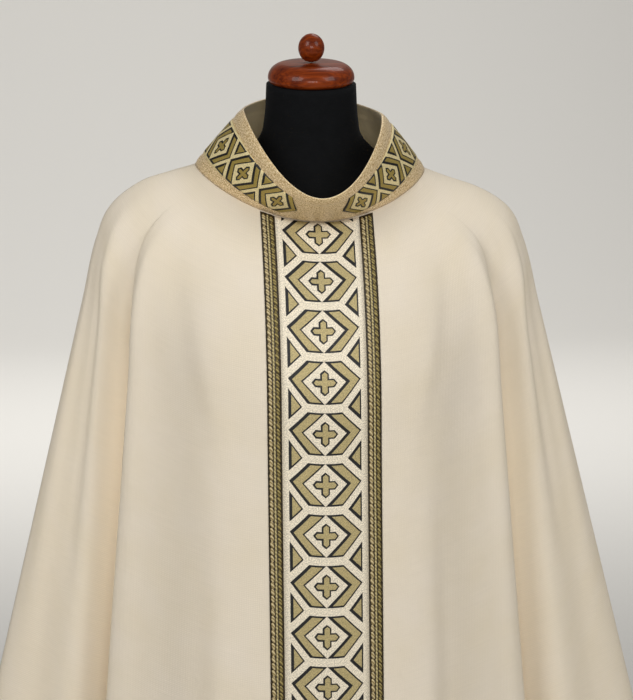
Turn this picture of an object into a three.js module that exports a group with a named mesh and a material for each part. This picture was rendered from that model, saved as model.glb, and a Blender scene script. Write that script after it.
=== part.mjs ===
// Monastic chasuble worn by a limbless tailor's bust form on a stand.
// Millimetres, +Z up, origin on the floor under the stand's pole. The garment's front faces -Y.
//
// The cloth is one smooth surface, clothPoint(cloth, down). "cloth" runs once round the garment:
// 0 centre front, 1 right shoulder seam, 2 centre back, 3 left shoulder seam. "down" runs from the
// neck edge to the hem. SECTIONS gives the smooth cap that lies on the shoulders, and below the
// last section each fold of FRONT_FOLDS and BACK_FOLDS falls in a straight line to the hem.
import * as THREE from "three";

// ---- driving dimensions -------------------------------------------------------------------
const CLOTH_WALL = 2; // cloth with its backing
const SEAM_GAP = 0.3; // between pieces that are sewn together
const FRONT_LENGTH = 1262; // neck edge to hem at the centre front, along the cloth
const BACK_LENGTH = 1290;
const SIDE_LENGTH = 868; // neck edge to hem along the shoulder seam
const HEM_ROUNDNESS = 2.1; // how squarely the hem turns up to the sides
const PLAN_LEVEL = 215; // height at which the fold tables give each fold's place

const GALLOON_WIDTH = 107;
const BRAID_WIDTH = 18;
const TRIM_WALL = 1; // woven galloon and braid

const COLLAR_WALL = 1.2;
const COLLAR_BULGE = 3.5; // how far the band rounds out between its edges at the centre front
const COLLAR_STRAIGHTENING = 0.8; // share of that bulge which the sides and the back have lost
const COLLAR_SEAT = 11; // the band's foot, down from the neck edge
const COLLAR_LIFT = 0.45; // the band's foot above the smooth cloth, whose flat facets stand a little proud
const COLLAR_TRIM_FROM = 0.2; // the band's galloon, as shares of its height
const COLLAR_TRIM_TO = 0.81;
const COLLAR_TRIM_START = 15; // degrees of plain band each side of the centre front

const FORM_CLEARANCE = 0.6; // between the cloth and the shoulders that carry it
const CAP_TILT = 8; // degrees forward
const CAP_RADIUS = 55.5;
const CAP_HEIGHT = 27;
const KNOB_RADIUS = 16.8;
const KNOB_HEIGHT = 37;
const POLE_RADIUS = 15;
const BASE_RADIUS = 190;
const BASE_HEIGHT = 24;

// The smooth cap of cloth, one row a ring. "down" is the ring's place along the cloth, and "lean" is
// how much higher the left shoulder and lower the right shoulder is.
const SECTIONS = table(
  ["name", "down", "halfWidth", "frontY", "backY", "frontZ", "sideZ", "backZ", "lean"],
  ["neck edge", 0, 135, -71, 93, 1399, 1460, 1474, 4],
  ["collar seat", 11, 146, -78, 101, 1392, 1455, 1467, 4],
  ["yoke", 44, 180, -96, 118, 1365, 1444, 1445, 6],
  ["shoulder", 77, 215, -115, 131, 1333, 1433, 1414, 7],
  ["turn", 108, 243, -131, 141, 1300, 1417, 1378, 6],
  ["upper arm", 148, 265, -146, 149, 1256, 1394, 1331, 5],
  ["armpit", 186, 277, -157, 155, 1206, 1364, 1284, 5],
);
const FALL_END = 1036; // "down" at the hem
const FALL_ROWS = [0.12, 0.3, 0.6, 1]; // rings of the fall that the surface passes through

// One row a fold line of one quarter, from the centre to the shoulder seam. "ring" is its angle on
// the smooth cap, x and y its place in plan at PLAN_LEVEL, "hollow" how far it sinks in under the
// shoulder, and "drift" how much further out the left one hangs than the right one.
const RING_DRIFT = 0.15; // degrees on the cap for each millimetre of drift
const FRONT_FOLDS = [
  { name: "centre", cloth: 0, ring: 0, x: 0, y: -188, hollow: 0, drift: 0 },
  { name: "trim side", cloth: 0.1, ring: 14, x: 80, y: -187, hollow: 0, drift: 0 },
  { name: "flat", cloth: 0.2, ring: 27, x: 143, y: -180, hollow: 1, drift: 8 },
  { name: "soft valley", cloth: 0.28, ring: 36, x: 196, y: -158, hollow: 3, drift: 14 },
  { name: "soft ridge", cloth: 0.35, ring: 44, x: 250, y: -165, hollow: -1, drift: 20 },
  { name: "panel edge", cloth: 0.42, ring: 52, x: 304, y: -150, hollow: -7, drift: 24 },
  { name: "turn under", cloth: 0.45, ring: 54.5, x: 298, y: -126, hollow: 6, drift: 24 },
  { name: "deep valley", cloth: 0.6, ring: 59, x: 104, y: -66, hollow: 30, drift: 16 },
  { name: "return", cloth: 0.72, ring: 65, x: 262, y: -62, hollow: 18, drift: 14 },
  { name: "side fold", cloth: 0.81, ring: 72.5, x: 364, y: -112, hollow: 1, drift: 10 },
  { name: "side valley", cloth: 0.9, ring: 80.5, x: 452, y: -60, hollow: 2, drift: 4 },
  { name: "shoulder seam", cloth: 1, ring: 90, x: 556, y: 4, hollow: 0, drift: 0 },
];
const BACK_FOLDS = [
  { name: "centre", cloth: 0, ring: 0, x: 0, y: 212, hollow: 0, drift: 0 },
  { name: "trim side", cloth: 0.1, ring: 14, x: 82, y: 210, hollow: 0, drift: 0 },
  { name: "flat", cloth: 0.19, ring: 26, x: 145, y: 196, hollow: 1, drift: -3 },
  { name: "soft valley", cloth: 0.27, ring: 35, x: 205, y: 170, hollow: 3, drift: -5 },
  { name: "soft ridge", cloth: 0.34, ring: 43, x: 262, y: 182, hollow: -2, drift: -6 },
  { name: "panel edge", cloth: 0.43, ring: 53, x: 326, y: 154, hollow: -6, drift: -6 },
  { name: "turn under", cloth: 0.46, ring: 55.5, x: 318, y: 130, hollow: 6, drift: -6 },
  { name: "deep valley", cloth: 0.61, ring: 60, x: 118, y: 72, hollow: 28, drift: -3 },
  { name: "return", cloth: 0.73, ring: 66, x: 276, y: 70, hollow: 16, drift: -3 },
  { name: "side fold", cloth: 0.82, ring: 73.5, x: 378, y: 122, hollow: 1, drift: -5 },
  { name: "side valley", cloth: 0.91, ring: 81.5, x: 460, y: 66, hollow: 2, drift: -2 },
  { name: "shoulder seam", cloth: 1, ring: 90, x: 556, y: 4, hollow: 0, drift: 0 },
];
const HOLLOW_FROM = 50; // "down" where the hollows open, are deepest and have closed
const HOLLOW_DEEPEST = 250;
const HOLLOW_TO = 640;
const HOLLOW_ACROSS = 0.55; // share of a hollow's depth that goes towards the centre line
const HOLLOW_BACK = 0.83; // and the share that goes in from the face

// Rings of the collar band's upper rim and of the bust form, below the shoulders and above the neck
// edge. A planar ring climbs evenly from front to back, as a flat cut does.
const [RIM, ...FORM_RINGS] = table(
  ["name", "halfWidth", "frontY", "backY", "frontZ", "sideZ", "backZ", "lean", "planar"],
  ["rim", 90, -147, 88, 1422, 1525, 1541, 3, false],
  ["bottom", 164, -96, 108, 835, 835, 835, 0, false],
  ["hip", 172, -104, 118, 905, 905, 905, 0, false],
  ["waist", 150, -96, 98, 1075, 1075, 1080, 0, false],
  ["chest", 177, -117, 124, 1180, 1235, 1215, 0, false],
  ["underarm", 189, -119, 131, 1226, 1322, 1285, 0, false],
  ["armhole", 206, -116, 132, 1268, 1384, 1336, 0, false],
  ["shoulder end", 214, -112, 130, 1304, 1422, 1382, 0, false],
  ["neck root", 92, -64, 70, 1409, 1470, 1486, 0, false],
  ["neck base", 67, -63, 54, 1436, 1492, 1510, 0, false],
  ["neck", 60, -66, 45, 1508, 1519, 1530, 0, true],
  ["neck top", 57.5, -70, 44, 1553, 1561, 1569, 0, true],
);
const FORM_LOWER = FORM_RINGS.slice(0, 7);
const FORM_NECK = FORM_RINGS.slice(7);

const IVORY = 0xe3d8c0;
const GOLD_LAME = 0xd2b98a;
const GALLOON = 0xcfc09a;
const BRAID = 0x9a8550;
const BLACK_JERSEY = 0x0b0c0c;
const VARNISHED_WOOD = 0x7a2c10;
const BLACK_PAINT = 0x1b1b1c;
const STEEL = 0xb9bcc0;

// ---- small maths --------------------------------------------------------------------------
const radians = THREE.MathUtils.degToRad;
const smoothstep = THREE.MathUtils.smoothstep;

/** Rows of a table as objects named by its columns. */
function table(columns, ...rows) {
  return rows.map((row) => Object.fromEntries(columns.map((column, i) => [column, row[i]])));
}

/** Value at x of the smooth curve through rows of numbers at the given knots. */
function through(knots, rows, x) {
  let i = 0;
  while (i < knots.length - 2 && x > knots[i + 1]) i += 1;
  const span = knots[i + 1] - knots[i];
  const f = (x - knots[i]) / span;
  const slope = (k, c) => {
    const before = k > 0 ? (rows[k][c] - rows[k - 1][c]) / (knots[k] - knots[k - 1]) : null;
    const after = k < knots.length - 1 ? (rows[k + 1][c] - rows[k][c]) / (knots[k + 1] - knots[k]) : null;
    if (before === null) return after;
    if (after === null) return before;
    const wide = knots[k + 1] - knots[k - 1];
    return (before * (knots[k + 1] - knots[k]) + after * (knots[k] - knots[k - 1])) / wide;
  };
  return rows[i].map((value, c) => {
    const next = rows[i + 1][c];
    const swing = f * f * (3 - 2 * f);
    const lead = span * slope(i, c) * f * (1 - f) * (1 - f);
    const trail = span * slope(i + 1, c) * f * f * (f - 1);
    return value + (next - value) * swing + lead + trail;
  });
}

/** Point of a ring at an angle from the centre front: an oval in plan that climbs to its sides. */
function ringPoint(ring, degrees) {
  const a = radians(degrees);
  const towardsFront = Math.cos(a) > 0;
  const endY = towardsFront ? ring.frontY : ring.backY;
  const endZ = towardsFront ? ring.frontZ : ring.backZ;
  const middleY = (ring.frontY + ring.backY) / 2;
  const c = Math.abs(Math.cos(a));
  const climb = ring.planar ? 1 - c : 0.35 * (1 - c) ** 0.9 + 0.65 * (1 - c * c);
  return new THREE.Vector3(
    ring.halfWidth * Math.sin(a),
    middleY + (endY - middleY) * c,
    endZ + (ring.sideZ - endZ) * climb - ring.lean * Math.sin(a),
  );
}

// ---- the cloth's surface ------------------------------------------------------------------
/** All fold lines once round, with a few beyond each end so that the curve closes smoothly. */
const FOLD_LINES = (() => {
  const ringOf = (fold, side) => fold.ring + (side < 0 ? RING_DRIFT * fold.drift : 0);
  const quarter = (folds, from, direction, side) =>
    folds.map((f) => ({
      at: from + direction * f.cloth,
      ring: folds === FRONT_FOLDS ? side * ringOf(f, side) : side * (180 - ringOf(f, side)),
      x: side * f.x - (side < 0 ? f.drift : 0),
      y: f.y,
      hollow: f.hollow,
    }));
  const right = [...quarter(FRONT_FOLDS, 0, 1, 1), ...quarter(BACK_FOLDS, 2, -1, 1).reverse().slice(1)];
  const left = [...quarter(FRONT_FOLDS, 0, -1, -1), ...quarter(BACK_FOLDS, -2, 1, -1).reverse().slice(1)];
  const half = [...left.reverse().slice(0, -1), ...right];
  const turned = (lines, by) => lines.map((f) => ({ ...f, at: f.at + by, ring: f.ring + by * 90 }));
  const count = half.length;
  return [...turned(half.slice(count - 4, count - 1), -4), ...half, ...turned(half.slice(1, 4), 4)];
})();
const FOLD_KNOTS = FOLD_LINES.map((f) => f.at);
const FOLD_ROWS = FOLD_LINES.map((f) => [f.ring, f.x, f.y, f.hollow]);

const wrapped = (cloth) => (cloth > 2 ? cloth - 4 : cloth);

/** Length of the cloth from the neck edge to the hem at one place round the garment. */
function clothLength(cloth) {
  const fromCentre = Math.abs(cloth) <= 1 ? Math.abs(cloth) : 2 - Math.abs(cloth);
  const centreLength = Math.abs(cloth) <= 1 ? FRONT_LENGTH : BACK_LENGTH;
  return centreLength - (centreLength - SIDE_LENGTH) * fromCentre ** HEM_ROUNDNESS;
}

const MERIDIAN_KNOTS = [
  ...SECTIONS.map((s) => s.down),
  ...FALL_ROWS.map((f) => SECTIONS.at(-1).down + f * (FALL_END - SECTIONS.at(-1).down)),
];
const meridians = new Map();

/** The rings' points down one fold line: the smooth cap, then the straight fall to the hem. */
function meridian(place) {
  const cloth = wrapped(place);
  const key = cloth.toFixed(6);
  if (meridians.has(key)) return meridians.get(key);
  const [ring, planX, planY] = through(FOLD_KNOTS, FOLD_ROWS, cloth);
  const cap = SECTIONS.map((section) => ringPoint(section, ring));
  const top = cap.at(-1);
  const lean = new THREE.Vector3(planX, planY, PLAN_LEVEL).sub(top).normalize();
  let used = 0;
  for (let i = 1; i < cap.length; i += 1) used += cap[i].distanceTo(cap[i - 1]);
  const fall = clothLength(cloth) - used;
  const rows = [...cap, ...FALL_ROWS.map((f) => top.clone().addScaledVector(lean, f * fall))];
  meridians.set(key, rows);
  return rows;
}

/** Point of the cloth's outer face. */
function clothPoint(cloth, down) {
  const rows = meridian(cloth).map((p) => p.toArray());
  const point = new THREE.Vector3(...through(MERIDIAN_KNOTS, rows, down));
  const hollow = through(FOLD_KNOTS, FOLD_ROWS, wrapped(cloth))[3];
  const opened = smoothstep(down, HOLLOW_FROM, HOLLOW_DEEPEST);
  const closed = smoothstep(down, HOLLOW_DEEPEST, HOLLOW_TO);
  const sideways = -HOLLOW_ACROSS * Math.sign(point.x);
  const inwards = new THREE.Vector3(sideways, -HOLLOW_BACK * Math.sign(point.y), 0);
  return point.addScaledVector(inwards, hollow * opened * (1 - closed));
}

/** Outward unit normal of the cloth. */
function clothNormal(cloth, down) {
  const round = 0.002;
  const along = 1.5;
  const across = clothPoint(cloth + round, down).sub(clothPoint(cloth - round, down));
  const low = Math.min(down + along, FALL_END);
  const high = Math.max(down - along, 0);
  const falling = clothPoint(cloth, low).sub(clothPoint(cloth, high));
  return falling.cross(across).normalize();
}

/** Place round the garment of the point that lies a given width from the centre line. */
function clothAtWidth(width, down, centre) {
  const turn = centre === 0 ? Math.sign(width) : -Math.sign(width);
  let low = 0;
  let high = 0.35;
  for (let i = 0; i < 24; i += 1) {
    const middle = (low + high) / 2;
    if (Math.abs(clothPoint(centre + turn * middle, down).x) < Math.abs(width)) low = middle;
    else high = middle;
  }
  return centre + turn * low;
}

// ---- walls --------------------------------------------------------------------------------
/** Closed wall between two grids of points, grid[column][row], outer facing out. */
function wall(outer, inner, closed = false) {
  const columns = outer.length;
  const rows = outer[0].length;
  const positions = [...outer.flat(), ...inner.flat()].flatMap((p) => p.toArray());
  const index = [];
  const at = (layer, c, r) => layer * columns * rows + (c % columns) * rows + r;
  const quad = (a, b, c, d) => index.push(a, b, c, a, c, d);
  const spans = closed ? columns : columns - 1;
  for (let c = 0; c < spans; c += 1) {
    for (let r = 0; r < rows - 1; r += 1) {
      quad(at(0, c, r), at(0, c, r + 1), at(0, c + 1, r + 1), at(0, c + 1, r));
      quad(at(1, c, r), at(1, c + 1, r), at(1, c + 1, r + 1), at(1, c, r + 1));
    }
    quad(at(0, c, 0), at(0, c + 1, 0), at(1, c + 1, 0), at(1, c, 0));
    quad(at(0, c, rows - 1), at(1, c, rows - 1), at(1, c + 1, rows - 1), at(0, c + 1, rows - 1));
  }
  if (!closed) {
    const last = columns - 1;
    for (let r = 0; r < rows - 1; r += 1) {
      quad(at(0, 0, r), at(1, 0, r), at(1, 0, r + 1), at(0, 0, r + 1));
      quad(at(0, last, r), at(0, last, r + 1), at(1, last, r + 1), at(1, last, r));
    }
  }
  const geometry = new THREE.BufferGeometry();
  geometry.setAttribute("position", new THREE.Float32BufferAttribute(positions, 3));
  geometry.setIndex(index);
  return geometry;
}

/** Closed solid through rings of points from the bottom up, with flat ends. */
function loft(rings) {
  const count = rings[0].length;
  const positions = rings.flat().flatMap((p) => p.toArray());
  const index = [];
  for (let r = 0; r < rings.length - 1; r += 1) {
    for (let c = 0; c < count; c += 1) {
      const a = r * count + c;
      const b = r * count + ((c + 1) % count);
      index.push(a, b, b + count, a, b + count, a + count);
    }
  }
  [rings[0], rings.at(-1)].forEach((ring, end) => {
    const centre = ring.reduce((sum, p) => sum.add(p), new THREE.Vector3()).divideScalar(count);
    const hub = positions.length / 3;
    const start = end ? (rings.length - 1) * count : 0;
    positions.push(...centre.toArray());
    for (let c = 0; c < count; c += 1) {
      const a = start + c;
      const b = start + ((c + 1) % count);
      index.push(...(end ? [hub, a, b] : [hub, b, a]));
    }
  });
  const geometry = new THREE.BufferGeometry();
  geometry.setAttribute("position", new THREE.Float32BufferAttribute(positions, 3));
  geometry.setIndex(index);
  return geometry;
}

// ---- the grid that every piece of cloth shares ----------------------------------------------
const TRIM_EDGE = GALLOON_WIDTH / 2 + SEAM_GAP / 2;
const TRIM_WIDTHS = [0, GALLOON_WIDTH / 4, TRIM_EDGE, TRIM_EDGE + BRAID_WIDTH + SEAM_GAP];
const QUARTER_STEPS = [
  0.09, 0.17, 0.24, 0.3, 0.345, 0.37, 0.395, 0.45, 0.52, 0.575, 0.63, 0.69, 0.74, 0.79, 0.84, 0.89, 0.945, 1,
];
const TRIM_FOOT = COLLAR_SEAT + 2 * (COLLAR_WALL + SEAM_GAP) + 2; // where trims end below the collar
const SHOULDER_STEPS = [0, COLLAR_SEAT, TRIM_FOOT, 29, 44, 60, 77]; // what the bust form carries
const DOWN_STEPS = [...SHOULDER_STEPS, 93, 108, 128, 148, 186, 230, 285, 350, 430, 530, 660, 830, FALL_END];

/** Places across half a panel at one ring: the trim's lines, then shares of what is left. */
function placesAcross(down, centre, side) {
  const turn = centre === 0 ? side : -side;
  const trims = TRIM_WIDTHS.map((w) => (w === 0 ? centre : clothAtWidth(side * w, down, centre)));
  const edge = trims.at(-1);
  const seam = centre + turn;
  return [...trims, ...QUARTER_STEPS.map((share) => edge + (seam - edge) * share)];
}

/** Grid of places, [column][row], over a whole panel from its left seam to its right seam. */
function panelPlaces(centre) {
  const rows = DOWN_STEPS.map((down) => {
    const left = placesAcross(down, centre, -1).slice(1).reverse();
    return [...left, ...placesAcross(down, centre, 1)].map((cloth) => ({ cloth, down }));
  });
  return rows[0].map((_, column) => rows.map((row) => row[column]));
}

/** Point that stands a little out of the cloth's outer face. */
function liftedPoint(cloth, down, out) {
  return clothPoint(cloth, down).addScaledVector(clothNormal(cloth, down), out);
}

/** Points of a grid of places, moved out of the cloth's outer face. */
function pointsAt(places, out) {
  return places.map((column) => column.map(({ cloth, down }) => liftedPoint(cloth, down, out)));
}

/** Front or back panel, its seams held half a gap clear of the shoulder line. */
function panel(centre) {
  const places = panelPlaces(centre);
  const clear = (centre === 0 ? -1 : 1) * (SEAM_GAP / 2);
  const grids = [pointsAt(places, 0), pointsAt(places, -CLOTH_WALL)];
  for (const point of grids.flatMap((grid) => [...grid[0], ...grid.at(-1)])) {
    point.y += clear;
  }
  return centre === 0 ? wall(...grids) : wall(grids[0].reverse(), grids[1].reverse());
}

/** Strip of trim sewn down a panel between two widths from its centre line. */
function trim(centre, from, to, columns) {
  const rows = DOWN_STEPS.filter((down) => down >= TRIM_FOOT);
  const places = [];
  for (let c = 0; c <= columns; c += 1) {
    const width = from + ((to - from) * c) / columns;
    const cloth = (down) => (Math.abs(width) < 1e-6 ? centre : clothAtWidth(width, down, centre));
    places.push(rows.map((down) => ({ cloth: cloth(down), down })));
  }
  const grids = [pointsAt(places, SEAM_GAP + TRIM_WALL), pointsAt(places, SEAM_GAP)];
  return centre === 0 ? wall(...grids) : wall(grids[0].reverse(), grids[1].reverse());
}

// ---- collar -------------------------------------------------------------------------------
/** "cloth" place that lies under an angle of the collar. */
function clothUnder(degrees) {
  let low = -2;
  let high = 2;
  for (let i = 0; i < 30; i += 1) {
    const middle = (low + high) / 2;
    if (through(FOLD_KNOTS, FOLD_ROWS, middle)[0] < degrees) low = middle;
    else high = middle;
  }
  return (low + high) / 2;
}

/** Point of the collar band, from its foot (0) to its rim (1), "depth" in from its outer face. */
function collarPoint(degrees, height, depth) {
  const cloth = clothUnder(degrees);
  const down = COLLAR_SEAT + 2 * COLLAR_WALL + SEAM_GAP - depth;
  const foot = liftedPoint(cloth, down, COLLAR_LIFT);
  const rim = ringPoint(RIM, degrees);
  const rise = rim.clone().sub(foot);
  const a = radians(degrees);
  const round = new THREE.Vector3(Math.cos(a), Math.sin(a), 0);
  const out = rise.clone().cross(round).negate().normalize();
  const roundness = 1 - COLLAR_STRAIGHTENING * (1 - Math.max(0, Math.cos(a)) ** 2);
  const bulge = COLLAR_BULGE * roundness * Math.sin(Math.PI * height) ** 0.8;
  return foot.addScaledVector(rise, height).addScaledVector(out, bulge - depth * height);
}

const COLLAR_STEP = 7.5; // degrees
const COLLAR_HEIGHTS = [0, COLLAR_TRIM_FROM, 0.5, COLLAR_TRIM_TO, 1];
const collarAngles = (from) => {
  const angles = [];
  for (let a = -180 + from; a <= 180 - from + 1e-6; a += COLLAR_STEP) angles.push(a);
  return angles;
};

/** Layer of the collar band, sewn to itself at the centre front. */
function collarBand(heights, from, depth, thick) {
  const seamTurn = 0.12;
  const grid = (d) =>
    collarAngles(from).map((a, i, all) => {
      const clear = from > 0 ? 0 : i === 0 ? seamTurn : i === all.length - 1 ? -seamTurn : 0;
      const round = a + clear + 180;
      const degrees = round > 180 ? round - 360 : round;
      return heights.map((h) => collarPoint(degrees, h, d)).reverse();
    });
  return wall(grid(depth), grid(depth + thick));
}

// ---- bust form and stand --------------------------------------------------------------------
function bustForm() {
  const all = [...panelPlaces(0).slice(0, -1), ...panelPlaces(2).reverse().slice(0, -1)];
  const places = all.filter((_, column) => column % 2 === 0);
  const rings = places.map(([{ cloth }]) => through(FOLD_KNOTS, FOLD_ROWS, wrapped(cloth))[0]);
  const under = -CLOTH_WALL - FORM_CLEARANCE;
  const carriedRing = (down, row) => places.map((column) => liftedPoint(column[row].cloth, down, under));
  const carried = SHOULDER_STEPS.map(carriedRing);
  const free = (sections) => sections.map((section) => rings.map((ring) => ringPoint(section, ring)));
  return loft([...free(FORM_LOWER), ...carried.reverse(), ...free(FORM_NECK)]);
}

/** Turned solid from rows of [radius, height], standing on its own origin. */
function turned(profile, segments) {
  const geometry = new THREE.LatheGeometry(profile.map(([r, z]) => new THREE.Vector2(r, z)), segments);
  return geometry.rotateX(Math.PI / 2);
}

/** Points round the quarter of an oval, for a turned profile. */
const quarterOval = (centreR, centreZ, r, z, from, to, count) =>
  Array.from({ length: count + 1 }, (_, i) => {
    const a = radians(from + ((to - from) * i) / count);
    return [centreR + r * Math.cos(a), centreZ + z * Math.sin(a)];
  });

function neckCap() {
  const edge = CAP_HEIGHT * 0.3;
  return turned(
    [
      [0, 0],
      ...quarterOval(CAP_RADIUS - 8, edge, 8, edge, -90, 0, 3),
      ...quarterOval(CAP_RADIUS - 22, edge, 22, CAP_HEIGHT - edge, 10, 80, 6),
      [CAP_RADIUS - 30, CAP_HEIGHT],
      [0, CAP_HEIGHT],
    ],
    40,
  );
}

function capKnob() {
  const half = KNOB_HEIGHT / 2;
  return turned([[0, 0], ...quarterOval(0, half, KNOB_RADIUS, half, -62, 84, 12), [0, KNOB_HEIGHT]], 24);
}

function standBase() {
  return turned(
    [
      [0, 0],
      [BASE_RADIUS - 3, 0],
      [BASE_RADIUS, 3],
      ...quarterOval(BASE_RADIUS - 14, BASE_HEIGHT - 14, 14, 14, 0, 90, 3),
      [0, BASE_HEIGHT],
    ],
    40,
  );
}

function standPole() {
  const height = FORM_LOWER[0].frontZ - BASE_HEIGHT - 2 * SEAM_GAP;
  return turned([[0, 0], [POLE_RADIUS, 0], [POLE_RADIUS, height], [0, height]], 24);
}

// ---- the object -----------------------------------------------------------------------------
const chasuble = new THREE.Group();

function add(name, geometry, colour, roughness, metalness = 0, parent = chasuble) {
  const material = new THREE.MeshStandardMaterial({ color: colour, roughness, metalness });
  const mesh = new THREE.Mesh(geometry, material);
  mesh.name = name;
  parent.add(mesh);
  return mesh;
}

add("front_panel", panel(0), IVORY, 0.8);
add("back_panel", panel(2), IVORY, 0.8);
add("collar", collarBand(COLLAR_HEIGHTS, 0, 0, COLLAR_WALL), GOLD_LAME, 0.5, 0.4);
add("collar_facing", collarBand(COLLAR_HEIGHTS, 0, COLLAR_WALL + SEAM_GAP, COLLAR_WALL), GOLD_LAME, 0.6, 0.2);
add(
  "collar_galloon",
  collarBand([COLLAR_TRIM_FROM, 0.5, COLLAR_TRIM_TO], COLLAR_TRIM_START, -SEAM_GAP - TRIM_WALL, TRIM_WALL),
  GALLOON,
  0.5,
  0.3,
);
for (const [face, centre] of [["front", 0], ["back", 2]]) {
  const half = GALLOON_WIDTH / 2;
  const braid = [TRIM_EDGE + SEAM_GAP / 2, TRIM_EDGE + BRAID_WIDTH];
  add(`${face}_galloon`, trim(centre, -half, half, 4), GALLOON, 0.5, 0.3);
  add(`${face}_braid_left`, trim(centre, -braid[1], -braid[0], 1), BRAID, 0.5, 0.4);
  add(`${face}_braid_right`, trim(centre, ...braid, 1), BRAID, 0.5, 0.4);
}

add("form_body", bustForm(), BLACK_JERSEY, 0.95);

const neckTop = FORM_NECK.at(-1);
const capGroup = new THREE.Group();
capGroup.position.set(0, (neckTop.frontY + neckTop.backY) / 2, neckTop.sideZ + SEAM_GAP);
capGroup.rotation.x = radians(CAP_TILT);
chasuble.add(capGroup);
add("neck_cap", neckCap(), VARNISHED_WOOD, 0.25, 0, capGroup);
add("cap_knob", capKnob().translate(0, 0, CAP_HEIGHT + SEAM_GAP), VARNISHED_WOOD, 0.25, 0, capGroup);

add("stand_base", standBase(), BLACK_PAINT, 0.5, 0.6);
add("stand_pole", standPole().translate(0, 0, BASE_HEIGHT + SEAM_GAP), STEEL, 0.3, 1);

export default chasuble;
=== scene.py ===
"""Looks of a monastic chasuble on a limbless dress form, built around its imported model."""

import math

import bpy
import numpy as np
from bpy.props import FloatProperty, FloatVectorProperty, IntProperty, PointerProperty, StringProperty
from mathutils import Matrix, Vector


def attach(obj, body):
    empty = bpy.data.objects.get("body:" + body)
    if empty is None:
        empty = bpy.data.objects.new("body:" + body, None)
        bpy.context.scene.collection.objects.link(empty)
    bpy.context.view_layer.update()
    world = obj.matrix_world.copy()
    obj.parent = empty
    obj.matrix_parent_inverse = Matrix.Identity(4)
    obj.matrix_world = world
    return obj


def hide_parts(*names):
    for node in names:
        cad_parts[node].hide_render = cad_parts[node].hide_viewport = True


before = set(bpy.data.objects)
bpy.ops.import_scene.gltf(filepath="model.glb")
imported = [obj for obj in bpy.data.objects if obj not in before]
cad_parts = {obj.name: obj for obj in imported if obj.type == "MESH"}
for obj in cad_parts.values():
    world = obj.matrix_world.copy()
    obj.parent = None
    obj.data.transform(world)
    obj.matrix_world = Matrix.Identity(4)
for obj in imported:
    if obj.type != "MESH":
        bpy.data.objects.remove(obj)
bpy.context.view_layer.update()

bl_info = {
    "name": "Monastic chasuble",
    "version": (1, 0, 0),
    "blender": (4, 5, 0),
    "location": "View3D > Sidebar > Chasuble",
    "description": "Builds the cloth, trims, dress form and stage of a monastic chasuble",
    "category": "Object",
}

MM = 0.001

# ---- the drape, in millimetres --------------------------------------------------------------
CLOTH_WALL = 2.0
SEAM_GAP = 0.3
FRONT_LENGTH = 1262.0
BACK_LENGTH = 1290.0
SIDE_LENGTH = 868.0
HEM_ROUNDNESS = 2.1
PLAN_LEVEL = 215.0
FALL_END = 1036.0
FALL_ROWS = (0.12, 0.3, 0.6, 1.0)
RING_DRIFT = 0.15
HOLLOW_FROM, HOLLOW_DEEPEST, HOLLOW_TO = 50.0, 250.0, 640.0

GALLOON_WIDTH = 107.0
BRAID_WIDTH = 18.0
TRIM_WALL = 1.0
TRIM_EDGE = GALLOON_WIDTH / 2 + SEAM_GAP / 2

COLLAR_WALL = 1.2
COLLAR_BULGE = 3.5
COLLAR_STRAIGHTENING = 0.8
COLLAR_SEAT = 11.0
COLLAR_LIFT = 0.45
COLLAR_TRIM_FROM, COLLAR_TRIM_TO = 0.2, 0.81
COLLAR_TRIM_START = 13.5
TRIM_FOOT = COLLAR_SEAT + 2 * (COLLAR_WALL + SEAM_GAP) + 2

FORM_CLEARANCE = 0.6
CAP_TILT = 8.0
CAP_RADIUS, CAP_HEIGHT = 55.5, 27.0
KNOB_RADIUS, KNOB_HEIGHT = 16.8, 37.0
POLE_RADIUS = 15.0
BASE_RADIUS, BASE_HEIGHT = 190.0, 24.0

# How a ring climbs from its ends to its sides: the share that climbs evenly, and its power.
CLIMB_SHARE, CLIMB_POWER = 0.35, 0.9
HOLLOW_X, HOLLOW_Y = -0.55, -0.83  # which way a hollow is pressed
STEP_AROUND, STEP_DOWN = 0.002, 1.5  # for the cloth's normals
HALVINGS = 24  # of a search along the cloth
TRIM_REACH = 0.35  # the trims lie within this share of the cloth
# Waves of cloth that hangs freely: height, turns round the cloth, turns down it, phase.
HAND_WAVES = ((1.0, 23, 0.011, 0), (0.7, 37, -0.017, 2))
HAND_HEIGHT, HAND_FADE = 0.35, (60, 260)
# The creases stay clear of the trims, the neck and the seams.
CREASE_PAST_TRIM, CREASE_FADE, SHOULDER_Y = 2, (74, 100), 60
CREASE_NECK_FADE, SEAM_FADE = (30, 70), 0.03
HEM_TURN, HEM_STEP, HEM_RELIEF = 22, 3, 0.6
PAINTED_SHADE_SETS_IN, PAINTED_LIGHT_SETS_IN = (70, 230), (150, 420)  # where the painted shade of the valleys and the painted light of the deep folds set in, down the cloth

RING_COLUMNS = ("half_width", "front_y", "back_y", "front_z", "side_z", "back_z", "lean", "planar")


def rings(*rows):
    """Rings of a table by the names of its columns."""
    return [dict(zip(RING_COLUMNS, (*row, 0, 0)[:8])) for row in rows]


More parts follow.
